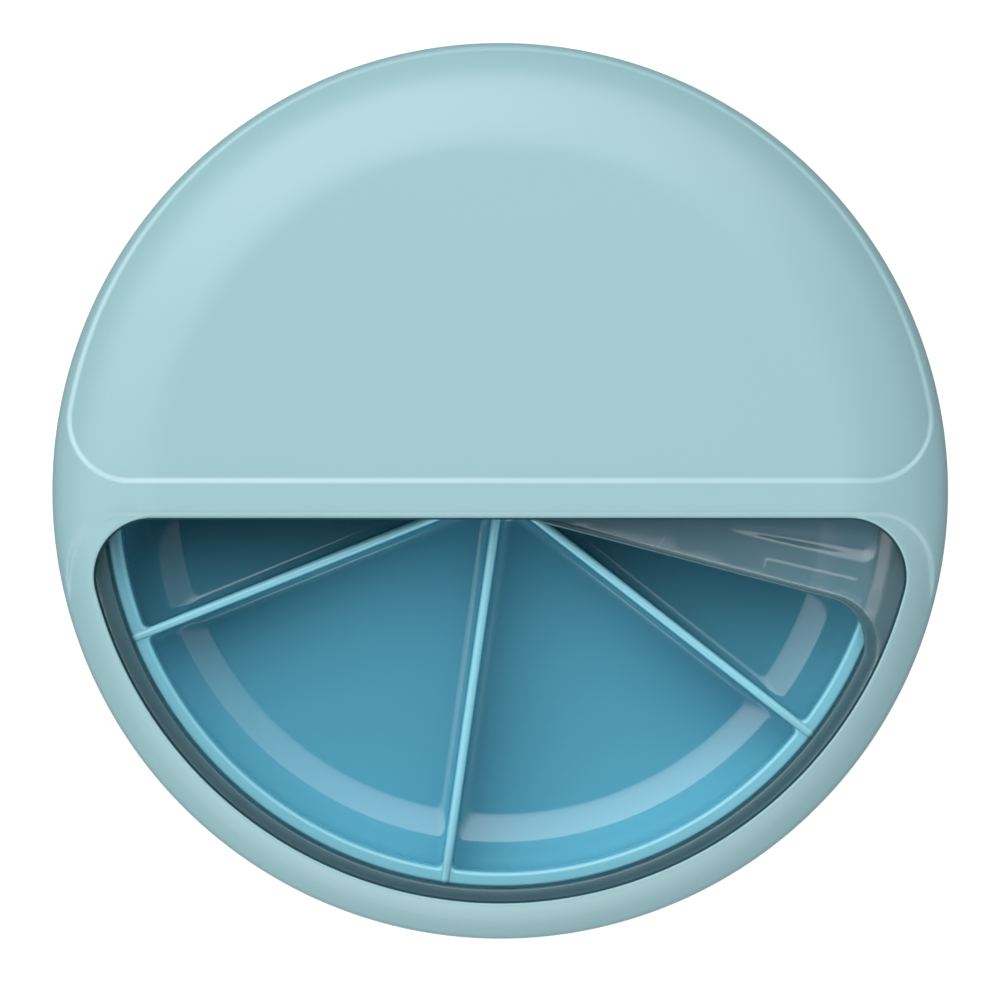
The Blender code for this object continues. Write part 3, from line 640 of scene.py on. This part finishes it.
def make_tray():
    shape = Shape()
    levels = pocket_levels()
    rings = [pocket_outline(level) for level in levels]
    mouths = []
    for k in range(COMPARTMENTS):
        turn = DIVIDER_ANGLE + (k + 0.5) * COMPARTMENT_ANGLE
        turned = [turned_about(ring, turn) for ring in rings]
        shape.loft([ring_at(ring, level.height) for ring, level in zip(turned, levels)])
        shape.add(ring_at(turned[-1], levels[-1].height), [loop_of(len(turned[-1]))])
        mouths.append(turned[0])

    rim = circle_points(RIM_RADIUS - RIM_SOFT, COLUMNS)
    bore = circle_points(PIVOT_BORE, BORE_COLUMNS)
    loops = [loop_of(COLUMNS), loop_of(BORE_COLUMNS, COLUMNS)]
    count = len(mouths[0])
    loops += [loop_of(count, COLUMNS + BORE_COLUMNS + k * count) for k in range(COMPARTMENTS)]
    cloud = np.concatenate([rim, bore, *mouths])
    xy, tris = triangulated(cloud, loops, lambda x, y: on_rim(x, y, levels[0]))
    shape.skin(xy, tris, np.full(len(xy), RIM_TOP))

    lip = [
        (RIM_RADIUS - RIM_SOFT + RIM_SOFT * math.sin(a), RIM_TOP - RIM_SOFT * (1 - math.cos(a)))
        for a in np.linspace(0, math.pi / 2, 8)
    ]
    ledge = [
        (RIM_RADIUS, RIM_TOP - 0.8),
        (RIM_RADIUS + 0.25, RIM_TOP - 0.9),
        (RIM_RADIUS + 0.25, RIM_TOP - 1.4),
        (RIM_RADIUS - 0.65, RIM_TOP - 1.6),
    ]
    outer = TRAY_FILLET + TRAY_WALL
    under = [
        (TRAY_FLOOR_RADIUS + outer * math.cos(a), TRAY_FILLET_TOP + outer * math.sin(a))
        for a in np.linspace(0, -math.pi / 2, 16)
    ]
    shape.turn([*lip, *ledge, *under, (PIVOT_BORE, TRAY_LOW[2])], COLUMNS)
    shape.turn([(PIVOT_BORE, TRAY_LOW[2]), (PIVOT_BORE, RIM_TOP)], BORE_COLUMNS)
    return assign(shape.build("tray_moulding", 35.0), "base", "tray")


def make_dividers():
    """The dividers' rounded top edges, which lap over the rim and end round."""
    shape = Shape()
    reach = RIM_RADIUS + 0.1 - DIVIDER_HALF
    soft = 0.5
    sections = [(0.0, RIM_TOP - 0.5), (0.0, DIVIDER_TOP - soft)]
    sections += [
        (soft * (1 - math.cos(a)), DIVIDER_TOP - soft + soft * math.sin(a))
        for a in np.linspace(0, math.pi / 2, 6)[1:]
    ]
    for k in range(COMPARTMENTS // 2):
        rings = []
        for inset, height in sections:
            half = DIVIDER_HALF - inset
            end = arc_points((reach, 0), half, -math.pi / 2, math.pi / 2, half * math.pi / 14)
            outline = turned_about(np.concatenate([end, -end]), DIVIDER_ANGLE + k * COMPARTMENT_ANGLE)
            rings.append(ring_at(outline, height))
        shape.loft(rings)
        shape.add(rings[-1], [loop_of(len(rings[-1]))])
        shape.add(rings[0], [loop_of(len(rings[0]))[::-1]])
    return assign(shape.build("tray_divider_edges", 35.0), "base")


# ---------------------------------------------------------------- shutter

def along_and_across(x, y, angle):
    """Coordinates along and across a direction."""
    c, s = math.cos(angle), math.sin(angle)
    return x * c + y * s, y * c - x * s


def scoop_depth(x, y):
    """A drop-shaped finger hollow that widens and deepens outwards."""
    along, across = along_and_across(x, y, SCOOP_ANGLE)
    inner, outer = SCOOP_ENDS
    share = np.clip((along - inner) / (outer - inner), 0.0, 1.0)
    width = SCOOP_WIDTHS[0] + (SCOOP_WIDTHS[1] - SCOOP_WIDTHS[0]) * share
    past = np.maximum(along - outer, 0.0) + np.maximum(inner - along, 0.0)
    off = np.hypot(across, past) / width
    hollow = smoothstep(1.05 * (1 - off))
    return SCOOP_DEPTH * hollow * smoothstep(0.2 + share * 1.1)


def mark_height(x, y):
    """A plain low bar beside the finger hollow."""
    along, across = along_and_across(x, y, MARK_ANGLE)
    start, end = MARK_ENDS
    past_end = np.abs(along - (start + end) / 2) - (end - start) / 2
    past_side = np.abs(across - MARK_OFFSET) - MARK_HALF
    return MARK_HEIGHT * smoothstep(0.5 - np.maximum(past_end, past_side) / MARK_STEP)


def turned_back(x, y, outline):
    """Distance to an outline that turns with the shutter."""
    back = turned_about(np.column_stack([x, y]), -SHUTTER_ANGLE)
    return segment_distance(outline, back[:, 0], back[:, 1])


def lip_share(x, y):
    """1 on the raised lip round the opening, 0 on the plate."""
    return smoothstep(0.5 - turned_back(x, y, LIP_OUTLINE) / LIP_STEP)


def make_shutter():
    shape = Shape()
    soft = SHUTTER_EDGE
    steps = [soft * (1 - math.cos(a)) for a in np.linspace(0, math.pi / 2, 6)]
    opening = [turned_about(segment_points(OPENING_OUTLINE, 0.5, e), SHUTTER_ANGLE) for e in steps]
    rim = circle_points(SHUTTER_RADIUS - 0.15, COLUMNS)
    bore = circle_points(PIVOT_BORE, BORE_COLUMNS)
    body = [circle_points(r, COLUMNS) for r in (51.4, BAND_OUTER, 49.9, 49.0, 48.3, BAND_INNER, 47.1)]
    for offset in np.linspace(-0.2, 0.2, 5):
        body.append(turned_about(segment_points(LIP_OUTLINE, 0.5, offset), SHUTTER_ANGLE))
    fine = np.array([(x, y) for x in np.arange(28.5, 48.0, 0.2) for y in np.arange(-4.4, 2.4, 0.15)])
    body.append(turned_about(fine, SCOOP_ANGLE))
    body.append(grid_points(SHUTTER_RADIUS - 1.0, 3.0))
    taken = np.concatenate(opening)
    chosen = []
    for candidates in body:
        r = radius_of(candidates)
        clear = turned_back(candidates[:, 0], candidates[:, 1], OPENING_OUTLINE) > soft + 0.1
        new = spread(candidates[clear & (r > PIVOT_BORE + 0.6) & (r < SHUTTER_RADIUS - 0.5)], taken, 0.09)
        chosen.append(new)
        taken = np.concatenate([taken, new])

    def solid(x, y):
        r = np.hypot(x, y)
        return (r < SHUTTER_RADIUS) & (r > PIVOT_BORE) & (turned_back(x, y, OPENING_OUTLINE) > 0)

    cloud = np.concatenate([rim, bore, *opening, *chosen])
    mouth = loop_of(len(opening[0]), COLUMNS + BORE_COLUMNS)
    xy, tris = triangulated(cloud, [loop_of(COLUMNS), loop_of(BORE_COLUMNS, COLUMNS), mouth], solid)
    x, y = xy.T
    sunk = np.clip(soft - turned_back(x, y, OPENING_OUTLINE), 0.0, soft)
    dip = soft - np.sqrt(soft**2 - sunk**2)
    lip = lip_share(x, y)
    swell = BAND_SWELL * smoothstep((np.hypot(x, y) - BAND_INNER) / BAND_SWELL_WIDTH) * (1 - lip)
    relief = swell + mark_height(x, y) - scoop_depth(x, y) + LIP_HEIGHT * lip
    shape.skin(xy, tris, SHUTTER_TOP - dip + relief)
    shape.skin(xy, tris, SHUTTER_BOTTOM + dip, flip=True)
    edge = opening[0]
    shape.loft([ring_at(edge, SHUTTER_TOP - soft + LIP_HEIGHT), ring_at(edge, SHUTTER_BOTTOM + soft)])
    outside = [
        (SHUTTER_RADIUS - 0.15, SHUTTER_TOP + BAND_SWELL),
        (SHUTTER_RADIUS, SHUTTER_TOP + BAND_SWELL - 0.15),
        (SHUTTER_RADIUS, SHUTTER_BOTTOM + 0.15),
        (SHUTTER_RADIUS - 0.15, SHUTTER_BOTTOM),
    ]
    shape.turn(outside, COLUMNS)
    shape.turn([(PIVOT_BORE, SHUTTER_BOTTOM), (PIVOT_BORE, SHUTTER_TOP)], BORE_COLUMNS)
    return assign(shape.build("shutter_moulding", 50.0), "shutter", "shutter")


def sort_shutter_faces(mesh):
    """Gives the lip's faces the second material and the plate's thick outer band the third."""
    x, y, _ = face_middles(mesh).T
    lip = turned_back(x, y, LIP_OUTLINE) < 0
    radius = np.hypot(x, y)
    band = (radius > BAND_INNER) & (radius < BAND_OUTER)
    chosen = np.where(lip | (radius >= BAND_OUTER), 1, np.where(band, 2, 0))
    for face, index in zip(mesh.polygons, chosen):
        face.material_index = int(index)


# ---------------------------------------------------------------- base and feet

def base_profile():
    """Closed profile: the spigot, down the dished outside, round the cap's pocket and up the inside."""
    radius, bottom = BASE_HIGH[0], BASE_LOW[2]
    soft, chamfer = 0.25, 0.15
    spigot = [
        (BASE_INNER, SPIGOT_TOP - chamfer),
        (BASE_INNER + chamfer, SPIGOT_TOP),
        (SPIGOT_RADIUS - chamfer, SPIGOT_TOP),
        (SPIGOT_RADIUS, SPIGOT_TOP - chamfer),
        (SPIGOT_RADIUS, BASE_TOP),
    ]
    edge = [
        (radius - soft + soft * math.sin(a), BASE_TOP - soft * (1 - math.cos(a)))
        for a in np.linspace(0, math.pi / 2, 5)
    ]
    width, depth = radius - BASE_FLAT, BASE_TOP - soft - bottom
    outer = [
        (BASE_FLAT + width * math.cos(a), BASE_TOP - soft + depth * math.sin(a))
        for a in np.linspace(0, -math.pi / 2, 28)
    ]
    pocket = [
        (CAP_POCKET_RADIUS + chamfer, bottom),
        (CAP_POCKET_RADIUS, bottom + chamfer),
        (CAP_POCKET_RADIUS, CAP_POCKET_TOP),
        (PIVOT_BORE, CAP_POCKET_TOP),
        (PIVOT_BORE, BASE_BOSS_TOP),
        (BASE_BOSS_RADIUS, BASE_BOSS_TOP),
        (BASE_BOSS_RADIUS, BASE_FLOOR),
    ]
    inner_width, inner_depth = BASE_INNER - BASE_FLAT, BASE_TOP - BASE_FLOOR
    inner = [
        (BASE_FLAT + inner_width * math.cos(a), BASE_TOP + inner_depth * math.sin(a))
        for a in np.linspace(-math.pi / 2, 0, 14)
    ]
    return [*spigot, *edge, *outer[1:], *pocket, *inner, spigot[0]]


def make_base():
    shape = Shape()
    shape.turn(base_profile(), COLUMNS // 2)
    base = shape.build("base_moulding", 35.0)
    tools = []

    def cylinder(operation, x, y, radius, low, high):
        bpy.ops.mesh.primitive_cylinder_add(vertices=64, radius=radius * MM, depth=(high - low) * MM)
        tool = bpy.context.object
        tool.location = (x * MM, y * MM, (low + high) / 2 * MM)
        tools.append(tool)
        step = base.modifiers.new(tool.name, "BOOLEAN")
        step.operation = operation
        step.object = tool

    bottom = BASE_LOW[2]
    for i in range(4):
        angle = math.radians(45 + 90 * i)
        x, y = FOOT_CIRCLE * math.cos(angle), FOOT_CIRCLE * math.sin(angle)
        cylinder("DIFFERENCE", x, y, FOOT_RADIUS + FOOT_GAP, bottom - FOOT_RECESS, bottom + FOOT_RECESS)
    for i in (1, 2):
        low, high = box_mm(f"detent_plunger_{i}")
        x, y = (low[:2] + high[:2]) / 2
        seat = box_mm(f"detent_spring_{i}")[0][2] - 0.1
        cylinder("UNION", x, y, DETENT_TUBE_RADIUS, DETENT_TUBE_BOTTOM, DETENT_TUBE_TOP)
        cylinder("DIFFERENCE", x, y, DETENT_BORE, seat, DETENT_TUBE_TOP + 1.0)
    bpy.context.view_layer.update()
    graph = bpy.context.evaluated_depsgraph_get()
    mesh = bpy.data.meshes.new_from_object(base.evaluated_get(graph))
    base.modifiers.clear()
    base.data = mesh
    for tool in tools:
        bpy.data.objects.remove(tool)
    mesh.shade_smooth()
    mesh.set_sharp_from_angle(angle=math.radians(35.0))
    return assign(base, "base", "base_shell")


def make_foot(i):
    """A rubber foot with two ring grooves in its sole."""
    shape = Shape()
    radius = FOOT_RADIUS
    profile = [
        (1e-5, FOOT_HEIGHT),
        (radius - 0.1, FOOT_HEIGHT),
        (radius, FOOT_HEIGHT - 0.1),
        (radius, 0.45),
        (radius - 0.1, 0.2),
        (radius - 0.3, 0.05),
        (radius - 0.6, 0.0),
    ]
    for groove in (2.7, 1.5):
        profile += [(groove + 0.2, 0.0), (groove + 0.1, 0.14), (groove - 0.1, 0.14), (groove - 0.2, 0.0)]
    shape.turn([*profile, (1e-5, 0.0)], 64)
    foot = shape.build(f"foot_moulding_{i}", 35.0)
    low, high = box_mm(f"foot_pad_{i}")
    x, y, _ = (low + high) / 2
    foot.location = (x * MM, y * MM, low[2] * MM)
    return assign(foot, "base", f"foot_pad_{i}")


# ---------------------------------------------------------------- materials

class Nodes:
    """Small helper that adds and links shader nodes."""

    def __init__(self, name):
        self.material = bpy.data.materials.new(name)
        self.material.use_nodes = True
        self.tree = self.material.node_tree
        self.shader = self.tree.nodes["Principled BSDF"]
        self.place = self.add("ShaderNodeTexCoord").outputs["Object"]

    def add(self, kind, **values):
        node = self.tree.nodes.new(kind)
        for key, value in values.items():
            if key in node.inputs:
                node.inputs[key].default_value = value
            else:
                setattr(node, key, value)
        return node

    def link(self, output, node, name):
        self.tree.links.new(output, node.inputs[name])

    def noise(self, scale, detail=3.0, rough=0.5):
        node = self.add("ShaderNodeTexNoise", Scale=scale, Detail=detail, Roughness=rough)
        self.link(self.place, node, "Vector")
        return node.outputs["Fac"]

    def map_range(self, value, start, end, low=0.0, high=1.0, **settings):
        """Maps the range from start to end onto the range from low to high, and stops at its ends."""
        node = self.add("ShaderNodeMapRange", **settings)
        self.link(value, node, "Value")
        for name, number in (("From Min", start), ("From Max", end), ("To Min", low), ("To Max", high)):
            node.inputs[name].default_value = number
        return node.outputs["Result"]

    def vary(self, noise, low=0.0, high=1.0):
        """Spreads a noise, which keeps to the middle of its range, from low to high."""
        return self.map_range(noise, 0.3, 0.7, low, high)

    def tint(self, value, colour_a, colour_b):
        node = self.add("ShaderNodeMix", data_type="RGBA")
        self.link(value, node, "Factor")
        node.inputs[6].default_value = (*colour_a, 1.0)
        node.inputs[7].default_value = (*colour_b, 1.0)
        self.link(node.outputs[2], self.shader, "Base Color")

    def bump(self, value, height, strength):
        node = self.add("ShaderNodeBump", Strength=strength, Distance=height)
        self.link(value, node, "Height")
        self.link(node.outputs["Normal"], self.shader, "Normal")

    def set(self, **values):
        for key, value in values.items():
            self.shader.inputs[key.replace("_", " ")].default_value = value


def scaled(colour, factor):
    return tuple(min(c * factor, 1.0) for c in colour)


def plastic(name, colour, rough, grain_mm, grain_height_mm, vary=0.02, spec=0.5, painted_light=None):
    """Moulded plastic: faint colour drift, uneven gloss and a fine moulded grain; a painted highlight can make
    some places paler.

    painted_light is (colour, low, high) by height, or (colour, name) by a mesh attribute that runs from 0 to 1,
    and its colour is a painted highlight.
    """
    made = Nodes(name)
    drift = made.vary(made.noise(18.0, 2.0))
    if painted_light is None:
        made.tint(drift, scaled(colour, 1 - vary), scaled(colour, 1 + vary))
    else:
        if len(painted_light) == 2:
            share = made.add("ShaderNodeAttribute", attribute_name=painted_light[1]).outputs["Fac"]
        else:
            split = made.add("ShaderNodeSeparateXYZ")
            made.link(made.place, split, "Vector")
            height = split.outputs["Z"]
            share = made.map_range(height, painted_light[1] * MM, painted_light[2] * MM, interpolation_type="SMOOTHSTEP")
        uneven = made.add("ShaderNodeMath", operation="MULTIPLY_ADD")
        made.link(drift, uneven, 0)
        uneven.inputs[1].default_value = vary
        made.link(share, uneven, 2)
        made.tint(uneven.outputs[0], colour, painted_light[0])
    made.link(made.vary(made.noise(140.0, 4.0, 0.6), rough * 0.95, rough * 1.06), made.shader, "Roughness")
    made.bump(made.noise(1.0 / (grain_mm * MM), 2.0, 0.6), grain_height_mm * MM, 0.6)
    made.set(Specular_IOR_Level=spec)
    return made.material


def metal(name, colour, rough, scratch=(900.0, 900.0, 40.0)):
    """Turned metal: fine marks that follow one direction."""
    made = Nodes(name)
    stretch = made.add("ShaderNodeMapping")
    made.link(made.place, stretch, "Vector")
    stretch.inputs["Scale"].default_value = scratch
    marks = made.add("ShaderNodeTexNoise", Scale=4.0, Detail=3.0)
    made.link(stretch.outputs["Vector"], marks, "Vector")
    made.tint(made.vary(marks.outputs["Fac"]), scaled(colour, 0.9), scaled(colour, 1.06))
    made.link(made.vary(marks.outputs["Fac"], rough * 0.8, rough * 1.3), made.shader, "Roughness")
    made.bump(marks.outputs["Fac"], 0.01 * MM, 0.4)
    made.set(Metallic=1.0)
    return made.material


def smoked_plastic(name, colour, alpha, edge_alpha, ior, rough):
    """Clear plastic with a faint veil, denser where it is seen edge on."""
    made = Nodes(name)
    made.tint(made.vary(made.noise(60.0, 3.0)), scaled(colour, 0.95), scaled(colour, 1.05))
    made.link(made.vary(made.noise(220.0, 3.0), rough * 0.88, rough * 1.12), made.shader, "Roughness")
    facing = made.add("ShaderNodeLayerWeight", Blend=0.5).outputs["Facing"]
    made.link(made.map_range(facing, 0.05, 0.75, alpha, edge_alpha), made.shader, "Alpha")
    made.set(IOR=ior)
    return made.material


def rubber(name, colour):
    """Matt rubber with a coarse moulded grain."""
    made = Nodes(name)
    made.tint(made.vary(made.noise(500.0)), scaled(colour, 0.9), scaled(colour, 1.1))
    made.link(made.vary(made.noise(900.0), 0.7, 0.9), made.shader, "Roughness")
    made.bump(made.noise(2500.0, 2.0), 0.03 * MM, 0.6)
    return made.material


TEAL = (0.197, 0.337, 0.364)
# Painted highlight: paler teal along the field's edge.
TEAL_PAINTED_HIGHLIGHT = (0.275, 0.425, 0.455)
# Painted shade: near black teal on the window's wall, for the shadow under the window's edge.
TEAL_PAINTED_SHADE = (0.012, 0.04, 0.05)
BLUE = (0.082, 0.308, 0.42)
# Painted highlight: paler blue on the tray's rim and divider tops, between these heights.
BLUE_PAINTED_HIGHLIGHT = (0.17, 0.42, 0.51)
BLUE_HIGHLIGHT_HEIGHTS = (RIM_TOP - 0.6, RIM_TOP + 0.25)
SMOKE = (0.19, 0.33, 0.39)
DARK_SMOKE = (0.038, 0.095, 0.118)
BAND_SMOKE = (0.085, 0.165, 0.195)


def make_materials():
    # The tray's painted highlight: paler blue on its rim and divider tops.
    rim = (BLUE_PAINTED_HIGHLIGHT, *BLUE_HIGHLIGHT_HEIGHTS)
    return {
        "pale_teal": plastic("pale_teal_satin", TEAL, 0.32, 0.12, 0.0025, 0.06, 0.5, (TEAL_PAINTED_HIGHLIGHT, EDGE_HIGHLIGHT)),
        "teal_painted_shade": plastic("pale_teal_painted_shade", TEAL_PAINTED_SHADE, 0.5, 0.12, 0.0025, 0.02, 0.1),
        "blue_tray": plastic("blue_tray_gloss", BLUE, 0.08, 0.6, 0.0003, 0.04, 0.5, rim),
        "smoked_clear": smoked_plastic("smoked_clear_polished", SMOKE, 0.29, 0.85, 2.4, 0.13),
        "smoked_lip": smoked_plastic("smoked_clear_lip", DARK_SMOKE, 0.86, 0.95, 1.45, 0.2),
        "smoked_band": smoked_plastic("smoked_clear_band", BAND_SMOKE, 0.66, 0.9, 1.9, 0.15),
        "white_acetal": plastic("white_acetal_satin", (0.78, 0.79, 0.78), 0.35, 0.3, 0.002),
        "grey_rubber": rubber("grey_rubber_matt", (0.16, 0.18, 0.19)),
        "stainless_steel": metal("stainless_turned", (0.60, 0.61, 0.62), 0.22),
        "spring_steel": metal("spring_steel_drawn", (0.42, 0.43, 0.45), 0.28, (300.0, 300.0, 300.0)),
        "brass": metal("brass_turned", (0.72, 0.50, 0.20), 0.25),
    }


def dress_cad_nodes(materials, hidden):
    """Gives the CAD nodes that stay their material, welded facets and softened edges."""
    slots = {part["node"]: part["material_slot"] for part in frame["record"]["subparts"]}
    for name, obj in frame["nodes"].items():
        if name in hidden:
            continue
        obj.data.materials.clear()
        obj.data.materials.append(materials[slots[name]])
        weld = obj.modifiers.new("Weld", "WELD")
        weld.merge_threshold = 0.002 * MM
        bevel = obj.modifiers.new("Bevel", "BEVEL")
        bevel.width = 0.05 * MM
        bevel.segments = 2
        bevel.limit_method = "ANGLE"
        bevel.angle_limit = math.radians(40.0)
        bevel.harden_normals = False
        obj.data.shade_smooth()
        obj.modifiers.new("Normals", "WEIGHTED_NORMAL")


# ---------------------------------------------------------------- studio

def make_floor():
    """Pale paper that reads white to the camera and throws little light back up at the object."""
    bpy.ops.mesh.primitive_plane_add(size=6.0)
    floor = bpy.context.object
    floor.name = "studio_floor"
    made = Nodes("studio_floor_paper")
    made.tint(made.vary(made.noise(3.0)), (0.15, 0.15, 0.15), (0.16, 0.16, 0.16))
    made.set(Roughness=0.9, Specular_IOR_Level=0.0, Emission_Color=(1.0, 1.0, 1.0, 1.0))
    seen = made.add("ShaderNodeLightPath").outputs["Is Camera Ray"]
    glow = made.add("ShaderNodeMath", operation="MULTIPLY")
    made.link(seen, glow, 0)
    glow.inputs[1].default_value = 0.9
    made.link(glow.outputs[0], made.shader, "Emission Strength")
    floor.data.materials.append(made.material)


# Each light: its strength, its direction round the axis and how narrow it is.
MAIN_LIGHT = (4.05, math.radians(107.0), 2.9)
FILL_LIGHT = (3.5, math.radians(266.0), 2.6)
ROOM_LIGHT = 0.13
# Heights on the unit sphere between which the main light starts and the fill ends.
MAIN_EDGE = (0.12, 0.42)
FILL_EDGE = (0.5, 0.707)
HORIZON = (0.0, 0.05)
# The dark spot straight above, by the tangent of the angle off the vertical, and how the lights blend there.
DARK_CONE = (0.065, 0.095)
SOFT_ZENITH = 0.12


def make_world():
    """Soft light by direction: dark straight above, a broad main light behind, a low fill in front."""
    world = bpy.data.worlds.new("studio")
    bpy.context.scene.world = world
    world.use_nodes = True
    tree = world.node_tree
    nodes, links = tree.nodes, tree.links
    background = nodes["Background"]
    place = nodes.new("ShaderNodeTexCoord")
    split = nodes.new("ShaderNodeSeparateXYZ")
    links.new(place.outputs["Generated"], split.inputs[0])

    def calc(kind, *values):
        node = nodes.new("ShaderNodeMath")
        node.operation = kind
        for i, value in enumerate(values):
            if isinstance(value, (int, float)):
                node.inputs[i].default_value = value
            else:
                links.new(value, node.inputs[i])
        return node.outputs[0]

    def step(value, low, high):
        node = nodes.new("ShaderNodeMapRange")
        node.interpolation_type = "SMOOTHSTEP"
        links.new(value, node.inputs["Value"])
        node.inputs["From Min"].default_value = low
        node.inputs["From Max"].default_value = high
        return node.outputs["Result"]

    x, y, z = split.outputs
    across = calc("SQRT", calc("ADD", calc("MULTIPLY", x, x), calc("MULTIPLY", y, y)))
    softened = calc("SQRT", calc("ADD", calc("MULTIPLY", across, across), SOFT_ZENITH**2))

    def lobe(light):
        strength, angle, power = light
        towards = calc("ADD", calc("MULTIPLY", x, math.cos(angle)), calc("MULTIPLY", y, math.sin(angle)))
        share = calc("MULTIPLY_ADD", calc("DIVIDE", towards, softened), 0.5, 0.5)
        return calc("MULTIPLY", calc("POWER", share, power), strength)

    above = calc("MAXIMUM", z, 0.01)
    off_zenith = step(calc("DIVIDE", across, above), *DARK_CONE)
    main_light = calc("MULTIPLY", lobe(MAIN_LIGHT), step(z, *MAIN_EDGE))
    low = calc("SUBTRACT", 1.0, step(z, *FILL_EDGE))
    fill = calc("MULTIPLY", calc("MULTIPLY", lobe(FILL_LIGHT), low), step(z, *HORIZON))
    total = calc("ADD", calc("ADD", main_light, fill), ROOM_LIGHT)
    links.new(calc("MULTIPLY", total, off_zenith), background.inputs["Color"])
    background.inputs["Strength"].default_value = 1.0


# The camera's height, the height of the level that is framed, the width that is seen there, and how far the
# turning axis stands above and to the left of the picture's middle, as shares of that width.
CAMERA_HEIGHT = 1000.0
VIEW_LEVEL = 14.0
VIEW_WIDTH = 123.431
AXIS_RISE = 0.0092
AXIS_LEFT = -0.0002


def make_camera():
    """Straight above the turning axis, far away, with the axis a little above the picture's middle."""
    data = bpy.data.cameras.new("camera")
    data.sensor_width = 36.0
    data.lens = data.sensor_width * (CAMERA_HEIGHT - VIEW_LEVEL) / VIEW_WIDTH
    data.shift_x = AXIS_LEFT
    data.shift_y = -AXIS_RISE
    data.clip_start = 0.01
    data.clip_end = 20.0
    camera = bpy.data.objects.new("camera", data)
    camera.location = (0.0, 0.0, CAMERA_HEIGHT * MM)
    bpy.context.scene.collection.objects.link(camera)
    bpy.context.scene.camera = camera


REPLACED = {"cover_shell", "base_shell", "tray", "shutter", *(f"foot_pad_{i}" for i in range(1, 5))}


def dress_pieces(pieces, materials):
    """Gives the new pieces their materials; the cover and the shutter have more than one."""
    for slot, made in pieces.items():
        for piece in made:
            piece.data.materials.clear()
            piece.data.materials.append(materials[slot])
    cover, shutter = pieces["pale_teal"][0].data, pieces["smoked_clear"][0].data
    # The cover gets painted shade on the window's wall and a painted highlight along the field's edge.
    cover.materials.append(materials["teal_painted_shade"])
    paint_window_wall_shade(cover)
    paint_edge_highlight(cover)
    shutter.materials.append(materials["smoked_lip"])
    shutter.materials.append(materials["smoked_band"])
    sort_shutter_faces(shutter)


def main():
    materials = make_materials()
    pieces = {
        "pale_teal": [make_cover(), make_cover_boss(), make_base()],
        "blue_tray": [make_tray(), make_dividers()],
        "smoked_clear": [make_shutter()],
        "grey_rubber": [make_foot(i) for i in range(1, 5)],
    }
    dress_pieces(pieces, materials)
    dress_cad_nodes(materials, REPLACED)
    make_floor()
    make_world()
    make_camera()
    bpy.context.scene.view_settings.view_transform = "Standard"


main()
